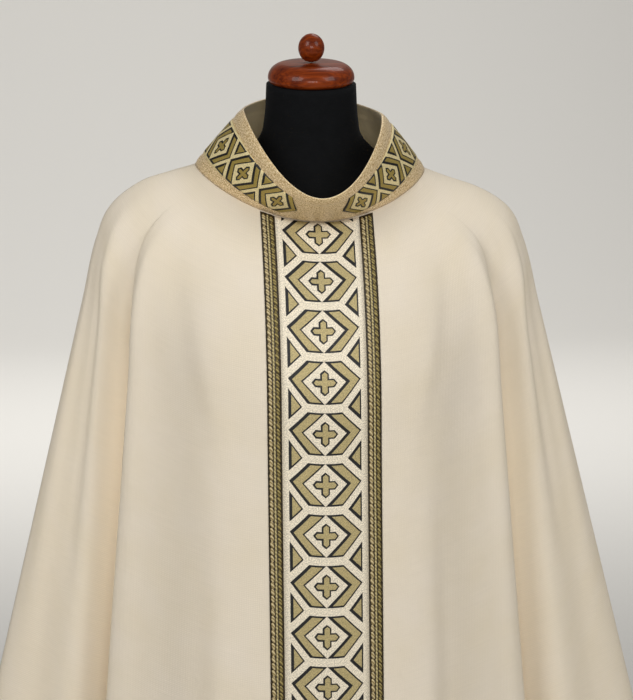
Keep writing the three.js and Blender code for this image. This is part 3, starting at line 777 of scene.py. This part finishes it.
# ---- repeats by Geometry Nodes -------------------------------------------------------------------
def bead_tree(name, material):
    """Geometry Nodes tree that lays one small bead of thread on each point, turned to its facing."""
    tree = bpy.data.node_groups.new(name, "GeometryNodeTree")
    sockets = tree.interface
    sockets.new_socket("Geometry", in_out="INPUT", socket_type="NodeSocketGeometry")
    for label in ("Length", "Width", "Height"):
        sockets.new_socket(label, in_out="INPUT", socket_type="NodeSocketFloat")
    sockets.new_socket("Geometry", in_out="OUTPUT", socket_type="NodeSocketGeometry")
    given = add(tree, "NodeGroupInput").outputs
    bead = add(tree, "GeometryNodeMeshUVSphere", {"Segments": 10, "Rings": 6, "Radius": 0.5}).outputs[0]
    sizes = {0: given["Width"], 1: given["Length"], 2: given["Height"]}
    size = add(tree, "ShaderNodeCombineXYZ", sizes).outputs[0]
    shaped = add(tree, "GeometryNodeTransform", {"Geometry": bead, "Scale": size}).outputs[0]
    named = {"Name": "facing"}
    facing = add(tree, "GeometryNodeInputNamedAttribute", named, data_type="FLOAT_VECTOR").outputs[0]
    turn = add(tree, "FunctionNodeEulerToRotation", {0: facing}).outputs[0]
    laid = add(
        tree,
        "GeometryNodeInstanceOnPoints",
        {"Points": given["Geometry"], "Instance": shaped, "Rotation": turn},
    ).outputs[0]
    real = add(tree, "GeometryNodeRealizeInstances", {0: laid}).outputs[0]
    smooth = add(tree, "GeometryNodeSetShadeSmooth", {0: real}).outputs[0]
    finished = add(tree, "GeometryNodeSetMaterial", {"Geometry": smooth, "Material": material}).outputs[0]
    add(tree, "NodeGroupOutput", {0: finished})
    return tree


def beads(name, points, along, normals, size, material, slant=0.0):
    """One mesh of beads, size (length, width, height) in millimetres, laid along a path on a surface."""
    mesh = bpy.data.meshes.new(name)
    mesh.from_pydata([tuple(p * MM) for p in points], [], [])
    turns = []
    for direction, normal in zip(along, normals):
        z = Vector(normal).normalized()
        x = Vector(direction).cross(z).normalized()
        frame_of_bead = Matrix((x, z.cross(x), z)).transposed() @ Matrix.Rotation(slant, 3, "Z")
        turns.append(frame_of_bead.to_euler())
    facing = mesh.attributes.new("facing", "FLOAT_VECTOR", "POINT")
    facing.data.foreach_set("vector", np.array(turns, np.float32).ravel())
    made = bpy.data.objects.new(name, mesh)
    bpy.context.scene.collection.objects.link(made)
    tree = bead_tree(name, material)
    modifier = made.modifiers.new("beads", "NODES")
    modifier.node_group = tree
    named = {item.name: item.identifier for item in tree.interface.items_tree if item.in_out == "INPUT"}
    for label, value in zip(("Length", "Width", "Height"), size):
        modifier[named[label]] = value * MM
    bpy.context.view_layer.update()
    evaluated = made.evaluated_get(bpy.context.evaluated_depsgraph_get())
    plain = bpy.data.meshes.new_from_object(evaluated)
    made.modifiers.clear()
    made.data = plain
    return made


def finish_piece(piece, material, nodes=()):
    """Material, body and replaced nodes of a piece."""
    piece.data.materials.clear()
    piece.data.materials.append(material)
    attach(piece, "root")
    if nodes:
        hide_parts(*nodes)
    return piece


# ---- settings ----------------------------------------------------------------------------------
class ClothSettings(bpy.types.PropertyGroup):
    thread_spacing: FloatProperty(
        name="Thread spacing",
        description="Drawn distance between two threads, in millimetres",
        default=2.4,
        min=0.5,
    )
    # Painted light: the paler colour drawn deep in the folds.
    fold_painted_light_colour: StringProperty(name="Fold painted light", description="Painted light deep in a fold", default="#feeed2")
    steps_across: IntProperty(
        name="Steps across", description="Columns from trim to seam", default=96, min=20
    )
    steps_down: IntProperty(name="Steps down", description="Rows from neck to hem", default=120, min=20)


class TrimSettings(bpy.types.PropertyGroup):
    cream: StringProperty(name="Cream", description="Ground of the galloon", default="#ece0c8")
    gold: StringProperty(name="Gold", description="Motifs of the galloon", default="#b9a877")
    band_cream: StringProperty(name="Collar cream", description="Ground on the collar", default="#e6d49f")
    band_gold: StringProperty(name="Collar gold", description="Motifs on the collar", default="#a8924a")
    outline: StringProperty(name="Outline", description="Outlines of the motifs", default="#030202")
    # The light end of the lamé's colour: its metal threads, and the glints painted into it.
    lame_threads_and_glints: StringProperty(name="Lamé", description="Gold lamé's threads and painted glints", default="#f9e3b8")
    lame_dark: StringProperty(name="Lamé ground", description="Gold lamé's ground", default="#b08c50")
    # The facing's colour is partly its satin's and partly painted light: it is drawn paler, so that the
    # inside of the collar looks lit.
    facing: StringProperty(name="Facing", description="Inner side of the collar, drawn paler as painted light", default="#fbe6b8")
    link_pitch: FloatProperty(name="Link pitch", description="Distance between two links", default=8.6, min=2)
    link_length: FloatProperty(name="Link length", description="Length of a link", default=9.8, min=2)
    link_width: FloatProperty(name="Link width", description="Width of a link", default=4.5, min=0.5)
    link_height: FloatProperty(name="Link height", description="Height of a link", default=2.4, min=0.2)


class StageSettings(bpy.types.PropertyGroup):
    azimuth: FloatProperty(
        name="Azimuth", description="Camera's place round the form, in degrees", default=-5.5
    )
    elevation: FloatProperty(name="Elevation", description="Camera's height, in degrees", default=7.86)
    roll: FloatProperty(name="Roll", description="Camera's roll, in degrees", default=-0.43)
    distance: FloatProperty(name="Distance", description="Camera to target", default=3.6, unit="LENGTH")
    view_width: FloatProperty(
        name="View width", description="Width seen at the target", default=0.8238, unit="LENGTH"
    )
    target: FloatVectorProperty(
        name="Target",
        description="Point in the middle of the picture",
        default=(0.0056, 0.0, 1.2151),
        unit="LENGTH",
    )


def panel_places(centre, settings):
    """Places round and down the cloth for a panel's grid: (cloth, down), each [column, row]."""
    rows = settings.steps_down
    upper = np.linspace(0, SECTION_DOWN[-1], rows // 2, endpoint=False)
    down = np.concatenate([upper, np.linspace(SECTION_DOWN[-1], FALL_END, rows - len(upper))])
    trim_edge = TRIM_EDGE + BRAID_WIDTH + SEAM_GAP
    halves = []
    for side in (-1, 1):
        turn = side if centre == 0 else -side
        trims = [cloth_at_width(side * w, down, centre) for w in np.linspace(0, trim_edge, 8)[1:]]
        edge = trims[-1]
        shares = np.linspace(0, 1, settings.steps_across + 1)[1:]
        halves.append(trims + [edge + (centre + turn - edge) * share for share in shares])
    middle = np.full(len(down), float(centre))
    cloth = np.array([*halves[0][::-1], middle, *halves[1]])
    return cloth, np.broadcast_to(down, cloth.shape)


def build_panel(name, centre, node, creases, material, settings):
    """One panel of cloth, with its soft creases, its turned hem and its seams."""
    cloth, down = panel_places(centre, settings)
    shape = cloth.shape
    flat_cloth, flat_down = cloth.ravel(), down.ravel()
    base = cloth_point(flat_cloth, flat_down)
    normal = cloth_normal(flat_cloth, flat_down)
    from_centre = (flat_cloth - centre) * (1 if centre == 0 else -1)
    rise = crease_height(from_centre, flat_down, creases)
    under_trims = np.abs(base[:, 0]) < TRIM_EDGE + BRAID_WIDTH + CREASE_PAST_TRIM
    beside = smoothstep(np.abs(base[:, 0]), *CREASE_FADE)
    trim_fade = np.where(np.abs(base[:, 1]) > SHOULDER_Y, beside, 1)
    rise = (rise + hand(flat_cloth, flat_down)) * np.where(under_trims, 0, trim_fade)
    seam_fade = smoothstep(1 - np.abs(from_centre), 0, SEAM_FADE)
    rise *= seam_fade * smoothstep(flat_down, *CREASE_NECK_FADE)
    hem_from = FALL_END - HEM_TURN
    rise += HEM_RELIEF * smoothstep(flat_down, hem_from, hem_from + HEM_STEP)
    outer = (base + normal * rise[:, None]).reshape(*shape, 3)
    inner = (base + normal * (rise - CLOTH_WALL)[:, None]).reshape(*shape, 3)
    clear = (-1 if centre == 0 else 1) * SEAM_GAP / 2
    for grid in (outer, inner):
        grid[[0, -1], :, 1] += clear
    points, faces = wall(outer, inner, flip=centre != 0)
    middle = shape[0] // 2
    across = arc_lengths(outer, 0)
    across = (across - across[middle]) * (1 if centre == 0 else -1)
    uvs = np.stack([across, arc_lengths(outer, 1)], -1).reshape(-1, 2)
    # Painted light deep in the folds and painted shade in the valleys, each fading in down the cloth.
    painted_light_shade = np.clip(on_folds(flat_cloth)[:, 4], -1, 1)
    painted_light_shade *= np.where(painted_light_shade < 0, smoothstep(flat_down, *PAINTED_SHADE_SETS_IN), smoothstep(flat_down, *PAINTED_LIGHT_SETS_IN))
    piece = new_object(name, points, faces, np.tile(uvs, (2, 1)), {"painted_light_shade": np.tile(painted_light_shade, 2)})
    return finish_piece(piece, material, [node])


def trim_grid(centre, widths, lift, rows=170):
    """Grid of a trim's face, lift millimetres off the cloth."""
    down = np.linspace(TRIM_FOOT, FALL_END, rows)
    columns = []
    for width in widths:
        cloth = np.full(rows, float(centre)) if abs(width) < 1e-6 else cloth_at_width(width, down, centre)
        height = lift(width) if callable(lift) else lift
        columns.append(cloth_point(cloth, down) + cloth_normal(cloth, down) * height)
    return np.array(columns)


def build_strip(name, centre, widths, crown, material, slot, node, first_motif=0.0):
    """Strip of trim sewn down a panel, crowned between its edges."""
    middle = (widths[0] + widths[-1]) / 2
    half = abs(widths[-1] - widths[0]) / 2

    def lift(width):
        edge = min(1.0, (half - abs(width - middle)) / 2.0)
        return SEAM_GAP + TRIM_WALL * (0.55 + 0.45 * edge) + crown * (1 - ((width - middle) / half) ** 2)

    outer = trim_grid(centre, widths, lift)
    inner = trim_grid(centre, widths, SEAM_GAP)
    points, faces = wall(outer, inner, flip=centre != 0)
    along = arc_lengths(outer, 1) - first_motif
    across = np.broadcast_to(np.asarray(widths)[:, None] * (1 if centre == 0 else -1), along.shape)
    uvs = np.stack([across, along], -1).reshape(-1, 2)
    piece = new_object(name, points, faces, np.tile(uvs, (2, 1)))
    return finish_piece(piece, material, [node])


def path_on_panel(centre, width, pitch, lift):
    """Points, directions and normals at an even pitch down a panel."""
    down = np.linspace(TRIM_FOOT + 3, FALL_END - 2, 900)
    cloth = cloth_at_width(width, down, centre)
    line = cloth_point(cloth, down)
    travelled = np.concatenate([[0], np.cumsum(np.linalg.norm(np.diff(line, axis=0), axis=1))])
    stops = np.interp(np.arange(pitch / 2, travelled[-1], pitch), travelled, down)
    cloth = cloth_at_width(width, stops, centre)
    normals = cloth_normal(cloth, stops)
    points = cloth_point(cloth, stops) + normals * lift
    return points, np.gradient(points, axis=0), normals


def collar_foot(degrees, depth):
    """Points where the collar's layers stand on the cloth."""
    order = np.argsort(FOLD_TABLE[:, 1])
    cloth = np.interp(degrees, FOLD_TABLE[order, 1], FOLD_TABLE[order, 0])
    low, high = cloth - 0.1, cloth + 0.1
    for _ in range(20):
        middle = (low + high) / 2
        short = on_folds(middle)[:, 0] < degrees
        low, high = np.where(short, middle, low), np.where(short, high, middle)
    down = COLLAR_SEAT + 2 * COLLAR_WALL + SEAM_GAP - depth + 0 * cloth
    return cloth_point(cloth, down) + cloth_normal(cloth, down) * COLLAR_LIFT


def collar_point(degrees, height, depth):
    """Points of the collar band, from its foot (0) to its rim (1), depth in from its outer face."""
    degrees = np.asarray(degrees, float)
    height = np.broadcast_to(height, degrees.shape)[:, None]
    foot = collar_foot(degrees, depth)
    rise = ring_point(RIM, degrees) - foot
    a = np.radians(degrees)
    across = np.column_stack([np.cos(a), np.sin(a), 0 * a])
    out = -np.cross(rise, across)
    out /= np.linalg.norm(out, axis=1)[:, None]
    roundness = 1 - COLLAR_STRAIGHTENING * (1 - np.maximum(0, np.cos(a)) ** 2)
    bulge = COLLAR_BULGE * roundness[:, None] * np.abs(np.sin(np.pi * height)) ** 0.8
    return foot + rise * height + out * (bulge - depth * height), out


COLLAR_COLUMNS = 240
COLLAR_SIDE_ROWS = 26
RIM_ROLL_ROWS = 6
FACING_SEAM = 0.8  # where the facing is joined, as a share of the band's height
PADDING, PADDED_ROWS = 1.3, ((0.1, 0.08), (0.91, 0.07))  # height; place and width as shares of the band's
FOOT_FADE = 12  # the relief sets in over a twelfth of the height
AROUND_RADIUS = 128  # of the band, for its weave
NARROWEST_MOTIF = 0.62
POINTED_END = 24


def build_collar(material):
    """Stand-off band with a rolled rim, its centre-front seam and its facing's seam."""
    degrees = np.linspace(-180, 180, COLLAR_COLUMNS, endpoint=False)
    thick = 2 * COLLAR_WALL + SEAM_GAP
    seam = np.exp(-((degrees / 0.9) ** 2))
    beside_seam = np.exp(-(((np.abs(degrees) - 3) / 1.8) ** 2))
    pucker = 0.25 * np.sin(np.radians(degrees) * 31) + 0.2 * np.sin(np.radians(degrees) * 47 + 1)
    loops = []
    for height in np.linspace(0, 1, COLLAR_SIDE_ROWS):
        point, out = collar_point(degrees, height, 0.0)
        padded = sum(PADDING * math.exp(-(((height - at) / wide) ** 2)) for at, wide in PADDED_ROWS)
        raised = padded * (1 + 0.3 * pucker) - 1.1 * seam + 0.35 * beside_seam + 0.3 * pucker
        loops.append(point + out * (raised * min(1.0, height * FOOT_FADE))[:, None])
    top, out = collar_point(degrees, 1.0, 0.0)
    under, _ = collar_point(degrees, 1.0, thick)
    up = np.cross(out, np.gradient(top, axis=0))
    up /= np.linalg.norm(up, axis=1)[:, None]
    up *= np.sign((up * (top - loops[-2])).sum(1))[:, None]
    for step in range(1, RIM_ROLL_ROWS):
        angle = math.pi * step / RIM_ROLL_ROWS
        middle, reach = (top + under) / 2, (top - under) / 2
        loops.append(middle + reach * math.cos(angle) + up * (thick / 2 + 0.5) * math.sin(angle))
    for height in np.linspace(1, 0, COLLAR_SIDE_ROWS):
        point, out = collar_point(degrees, height, thick)
        join = 0.7 * math.exp(-(((height - FACING_SEAM) / 0.02) ** 2))
        fold = 0.35 * math.exp(-(((height - FACING_SEAM + 0.05) / 0.03) ** 2))
        raised = join - fold + 0.5 * seam + 0.2 * pucker
        loops.append(point + out * (raised * min(1.0, height * FOOT_FADE))[:, None])
    grid = np.array(loops).transpose(1, 0, 2)[:, ::-1]
    columns, rows = grid.shape[:2]
    index = np.arange(columns * rows).reshape(columns, rows)
    onward = np.roll(index, -1, axis=0)
    down = np.roll(index, -1, axis=1)
    diagonal = np.roll(down, -1, axis=0)
    faces = np.stack([index, down, diagonal, onward], -1).reshape(-1, 4)
    around = np.broadcast_to(np.radians(degrees)[:, None] * AROUND_RADIUS, grid.shape[:2])
    uvs = np.stack([around, arc_lengths(grid, 1)], -1).reshape(-1, 2)
    inside = smoothstep(np.arange(rows)[::-1], COLLAR_SIDE_ROWS + 1, COLLAR_SIDE_ROWS + 4)
    facing = {"facing": np.broadcast_to(inside, (columns, rows)).ravel()}
    piece = new_object("collar_band", grid.reshape(-1, 3), faces, uvs, facing)
    return finish_piece(piece, material, ["collar", "collar_facing"])


def build_collar_galloon(material):
    """Strip of galloon round the band, pointed at its ends as its first and last motifs are."""
    degrees = np.linspace(COLLAR_TRIM_START, 360 - COLLAR_TRIM_START, 420)
    wound = np.where(degrees > 180, degrees - 360, degrees)
    middle = (COLLAR_TRIM_FROM + COLLAR_TRIM_TO) / 2
    line, _ = collar_point(wound, middle, 0.0)
    around = np.concatenate([[0], np.cumsum(np.linalg.norm(np.diff(line, axis=0), axis=1))])
    # The motif is woven smaller along the band, so that a whole number of motifs goes round.
    motif = 2 * MOTIF_POINT
    spaces = math.ceil((around[-1] / NARROWEST_MOTIF - motif) / BAND_PITCH)
    shrink = around[-1] / (motif + BAND_PITCH * spaces)
    from_end = np.minimum(around, around[-1] - around) / shrink
    full = np.clip(from_end / POINTED_END, 0.04, 1)
    outer, inner = [], []
    for share in np.linspace(-1, 1, 13):
        raised = SEAM_GAP + TRIM_WALL * (0.75 + 0.45 * min(1, (1 - abs(share)) * 8))
        point, out = collar_point(wound, middle + share * full * (COLLAR_TRIM_TO - middle), 0.0)
        outer.append(point + out * raised)
        inner.append(point + out * SEAM_GAP / 2)
    outer, inner = (np.array(grid)[::-1].transpose(1, 0, 2) for grid in (outer, inner))
    points, faces = wall(outer, inner)
    up = arc_lengths(outer, 1)
    up = up - up[:, -1:] / 2
    along = np.broadcast_to((around / shrink - motif / 2)[:, None], up.shape)
    uvs = np.stack([along, up], -1).reshape(-1, 2)
    piece = new_object("collar_galloon_cloth", points, faces, np.tile(uvs, (2, 1)))
    return finish_piece(piece, material, ["collar_galloon"])


def build_form(material):
    """Limbless bust, its shoulders lying just under the cloth."""
    degrees = np.linspace(-180, 180, 144, endpoint=False)
    order = np.argsort(FOLD_TABLE[:, 1])
    cloth = np.interp(degrees, FOLD_TABLE[order, 1], FOLD_TABLE[order, 0])
    under = []
    for down in (77, 60, 44, 29, 11, 0):
        level = np.full(len(cloth), float(down))
        under.append(cloth_point(cloth, level) - cloth_normal(cloth, level) * (CLOTH_WALL + FORM_CLEARANCE))
    lower = [ring_point(ring, degrees) for ring in FORM_LOWER]
    neck = [ring_point(ring, degrees) for ring in FORM_NECK]
    stack = np.array(lower + under + neck)
    steps = np.linspace(0, len(stack) - 1, 8 * (len(stack) - 1) + 1)
    rows = np.array([through(np.arange(len(stack)), stack[:, i], steps) for i in range(len(degrees))])
    columns, levels = rows.shape[:2]
    points = [*rows.reshape(-1, 3), rows[:, 0].mean(0), rows[:, -1].mean(0)]
    faces = []
    for c in range(columns):
        n = (c + 1) % columns
        for r in range(levels - 1):
            faces.append((c * levels + r, n * levels + r, n * levels + r + 1, c * levels + r + 1))
        faces.append((columns * levels, n * levels, c * levels))
        faces.append((columns * levels + 1, c * levels + levels - 1, n * levels + levels - 1))
    piece = new_object("dress_form", points, faces)
    return finish_piece(piece, material, ["form_body"])


def cap_place():
    """Where the neck cap stands: on the sloping top of the neck."""
    neck = FORM_NECK[-1]
    foot = (0, (neck["front_y"] + neck["back_y"]) / 2, neck["side_z"] + SEAM_GAP)
    return Matrix.Translation(foot) @ Matrix.Rotation(math.radians(CAP_TILT), 4, "X")


# A braid's cords, in millimetres: the two rows of links lie each side of a finer one.
CORD_OFFSET, CORD_LIFT, LINK_SLANT = 4.6, 1.4, 13
CENTRE_PITCH, CENTRE_LIFT, CENTRE_LINK = 4.0, 1.6, (6.0, 2.8, 1.5)


class CHASUBLE_OT_panels(bpy.types.Operator):
    """Build the front and back panels of ivory cloth with their orphreys and braids"""

    bl_idname = "chasuble.panels"
    bl_label = "Panels and orphreys"

    def execute(self, context):
        cloth, trims = context.scene.chasuble_cloth, context.scene.chasuble_trims
        wool = ivory_wool(cloth)
        galloon = woven_galloon(
            "lurex galloon", trims, ORPHREY_CHART, ORPHREY_PITCH, True, trims.cream, trims.gold
        )
        tape = cord_material("brown braid tape", "#1d1508", "#43361a", 0.1)
        thread = cord_material("tan centre cord", "#8d7d4c", "#cbbb88", 0.1)
        cream = cord_material("cream viscose cord", "#84703f", "#d3c194", 0.1)
        gold = cord_material("olive gold cord", "#55481f", "#a8965a", 0.3)
        half = GALLOON_WIDTH / 2
        for face, centre, creases in (("front", 0, FRONT_CREASES), ("back", 2, BACK_CREASES)):
            panel = build_panel(f"{face}_cloth", centre, f"{face}_panel", creases, wool, cloth)
            widths = np.linspace(-half, half, 17)
            orphrey = (f"{face}_orphrey", centre, widths, 0.3, galloon, "galloon", f"{face}_galloon")
            going = [build_strip(*orphrey, ORPHREY_FIRST_MOTIF)]
            for hand_side, side in (("left", -1), ("right", 1)):
                inner, outer = TRIM_EDGE + SEAM_GAP / 2, TRIM_EDGE + BRAID_WIDTH
                edges = np.linspace(inner, outer, 5) * side
                node = f"{face}_braid_{hand_side}"
                going.append(build_strip(f"{node}_tape", centre, np.sort(edges), 0.2, tape, "braid", node))
                middle = side * (inner + outer) / 2
                for colour, cord, offset in (("cream", cream, -CORD_OFFSET), ("gold", gold, CORD_OFFSET)):
                    turned_offset = offset if centre == 0 else -offset
                    path = path_on_panel(centre, middle + turned_offset, trims.link_pitch, CORD_LIFT)
                    size = (trims.link_length, trims.link_width, trims.link_height)
                    links = beads(f"{node}_{colour}_cord", *path, size, cord, slant=math.radians(LINK_SLANT))
                    going.append(finish_piece(links, cord))
                path = path_on_panel(centre, middle, CENTRE_PITCH, CENTRE_LIFT)
                links = beads(f"{node}_centre_cord", *path, CENTRE_LINK, thread)
                going.append(finish_piece(links, thread))
        return {"FINISHED"}


class CHASUBLE_OT_collar(bpy.types.Operator):
    """Build the stand-off collar and its galloon"""

    bl_idname = "chasuble.collar"
    bl_label = "Collar"

    def execute(self, context):
        trims = context.scene.chasuble_trims
        band = build_collar(gold_lame(trims))
        colours = (trims.band_cream, trims.band_gold)
        galloon = woven_galloon(
            "lurex galloon of the collar", trims, BAND_CHART, BAND_PITCH, False, *colours, bold=BAND_BOLD
        )
        strip = build_collar_galloon(galloon)
        return {"FINISHED"}


class CHASUBLE_OT_form(bpy.types.Operator):
    """Build the dress form with its wooden cap and knob"""

    bl_idname = "chasuble.form"
    bl_label = "Dress form"

    def execute(self, context):
        build_form(black_jersey())
        wood = varnished_beech()
        edge = CAP_HEIGHT * 0.3
        profile = [
            (0, 0),
            *oval(CAP_RADIUS - 8, edge, 8, edge, -90, 0, 8),
            *oval(CAP_RADIUS - 22, edge, 22, CAP_HEIGHT - edge, 10, 80, 20),
            (CAP_RADIUS - 30, CAP_HEIGHT),
            (0, CAP_HEIGHT),
        ]
        cap = turned(profile, 128, "wooden_cap", cap_place())
        finish_piece(cap, wood, ["neck_cap"])
        half = KNOB_HEIGHT / 2
        profile = [(0, 0), *oval(0, half, KNOB_RADIUS, half, -62, 88, 40), (0, KNOB_HEIGHT)]
        place = cap_place() @ Matrix.Translation((0, 0, CAP_HEIGHT + SEAM_GAP))
        knob = turned(profile, 96, "wooden_knob", place)
        finish_piece(knob, wood, ["cap_knob"])
        return {"FINISHED"}


class CHASUBLE_OT_stand(bpy.types.Operator):
    """Build the pole and the round base"""

    bl_idname = "chasuble.stand"
    bl_label = "Stand"

    def execute(self, context):
        profile = [
            (0, 0),
            (BASE_RADIUS - 3, 0),
            *oval(BASE_RADIUS - 3, 3, 3, 3, -70, 0, 4),
            *oval(BASE_RADIUS - 14, BASE_HEIGHT - 14, 14, 14, 0, 90, 12),
            (POLE_RADIUS + 6, BASE_HEIGHT),
            (0, BASE_HEIGHT),
        ]
        base = turned(profile, 128, "round_base")
        # Powder coat on steel: satin black with a fine orange peel.
        paint = metal_finish("black powder coat", "#17181a", 0.45, 0.0, 900.0)
        finish_piece(base, paint, ["stand_base"])
        low, high = BASE_HEIGHT + SEAM_GAP, FORM_LOWER[0]["front_z"] - SEAM_GAP
        profile = [(0, low), (POLE_RADIUS, low), (POLE_RADIUS, high), (0, high)]
        pole = turned(profile, 64, "steel_pole")
        # Drawn steel tube, satin, with faint lines along it.
        steel = metal_finish("satin drawn steel", "#b9bcc0", 0.3, 1.0, 700.0)
        finish_piece(pole, steel, ["stand_pole"])
        return {"FINISHED"}


class CHASUBLE_OT_stage(bpy.types.Operator):
    """Set the floor, the lights and the camera"""

    bl_idname = "chasuble.stage"
    bl_label = "Stage"

    def execute(self, context):
        scene, settings = context.scene, context.scene.chasuble_stage
        # A sweep: flat floor, then a wide round rise into the wall behind.
        front, turn, radius, top, half_width = -13.0, 9.0, 4.0, 12.0, 14.0
        angles = np.linspace(-math.pi / 2, 0, 25)
        bend = [(turn + radius * math.cos(a), radius + radius * math.sin(a)) for a in angles]
        profile = [(front, 0.0), *bend, (turn + radius, top)]
        points = [(x / MM, y / MM, z / MM) for y, z in profile for x in (-half_width, half_width)]
        faces = [(2 * i, 2 * i + 1, 2 * i + 3, 2 * i + 2) for i in range(len(profile) - 1)]
        floor = new_object("floor", points, faces)
        floor.data.materials.append(pale_floor())

        world = bpy.data.worlds.new("studio")
        world.use_nodes = True
        world.node_tree.nodes["Background"].inputs["Color"].default_value = linear("#eceded")
        world.node_tree.nodes["Background"].inputs["Strength"].default_value = 0.19
        scene.world = world
        scene.view_settings.view_transform = "Standard"
        # name, place, aim, size across and high, power
        softboxes = (
            ("key softbox", (-1.8, -1.9, 2.95), (0, 0, 1.4), (1.4, 1.6), 42),
            ("fill softbox", (2.0, -1.9, 2.95), (0, 0, 1.4), (1.4, 1.6), 34),
            ("front softbox", (-0.1, -3.3, 1.9), (0, 0, 1.5), (1.4, 0.9), 28),
            ("back softbox", (1.2, 2.0, 4.4), (0, 0, 1.35), (2.0, 1.4), 30),
            ("wall wash", (0, 5.5, 5.0), (0, 10.5, 0.6), (7.0, 2.0), 420),
        )
        for name, place, aim, size, power in softboxes:
            lamp = bpy.data.lights.new(name, "AREA")
            lamp.shape = "RECTANGLE"
            lamp.size, lamp.size_y = size
            lamp.energy = power
            made = bpy.data.objects.new(name, lamp)
            made.location = place
            made.rotation_euler = (Vector(aim) - Vector(place)).to_track_quat("-Z", "Y").to_euler()
            scene.collection.objects.link(made)

        azimuth, elevation = math.radians(settings.azimuth), math.radians(settings.elevation)
        level_share = math.cos(elevation)
        forward = Vector(
            (-math.sin(azimuth) * level_share, math.cos(azimuth) * level_share, -math.sin(elevation))
        )
        right = forward.cross(Vector((0, 0, 1))).normalized()
        level = Matrix((right, right.cross(forward), -forward)).transposed().to_4x4()
        roll = Matrix.Rotation(math.radians(settings.roll), 4, "Z")
        lens = bpy.data.cameras.new("camera")
        lens.sensor_fit = "HORIZONTAL"
        lens.lens = lens.sensor_width * settings.distance / settings.view_width
        lens.clip_end = 60
        camera = bpy.data.objects.new("camera", lens)
        eye = Vector(settings.target) - forward * settings.distance
        camera.matrix_world = Matrix.Translation(eye) @ level @ roll
        scene.collection.objects.link(camera)
        scene.camera = camera
        return {"FINISHED"}


class CHASUBLE_PT_build(bpy.types.Panel):
    """Lists the pieces and their settings"""

    bl_label = "Chasuble"
    bl_space_type = "VIEW_3D"
    bl_region_type = "UI"
    bl_category = "Chasuble"

    def draw(self, context):
        for step in STEPS:
            self.layout.operator(step.bl_idname)
        for name, group in SETTINGS.items():
            box = self.layout.box()
            for key in group.__annotations__:
                box.prop(getattr(context.scene, name), key)


STEPS = (CHASUBLE_OT_form, CHASUBLE_OT_panels, CHASUBLE_OT_collar, CHASUBLE_OT_stand, CHASUBLE_OT_stage)
SETTINGS = {
    "chasuble_cloth": ClothSettings,
    "chasuble_trims": TrimSettings,
    "chasuble_stage": StageSettings,
}


def register():
    for group in SETTINGS.values():
        bpy.utils.register_class(group)
    for name, group in SETTINGS.items():
        setattr(bpy.types.Scene, name, PointerProperty(type=group))
    for step in STEPS:
        bpy.utils.register_class(step)
    bpy.utils.register_class(CHASUBLE_PT_build)


def unregister():
    bpy.utils.unregister_class(CHASUBLE_PT_build)
    for step in reversed(STEPS):
        bpy.utils.unregister_class(step)
    for name in SETTINGS:
        delattr(bpy.types.Scene, name)
    for group in reversed(SETTINGS.values()):
        bpy.utils.unregister_class(group)


def main():
    register()
    bpy.ops.chasuble.form()
    bpy.ops.chasuble.panels()
    bpy.ops.chasuble.collar()
    bpy.ops.chasuble.stand()
    bpy.ops.chasuble.stage()


if __name__ == "__main__":
    main()
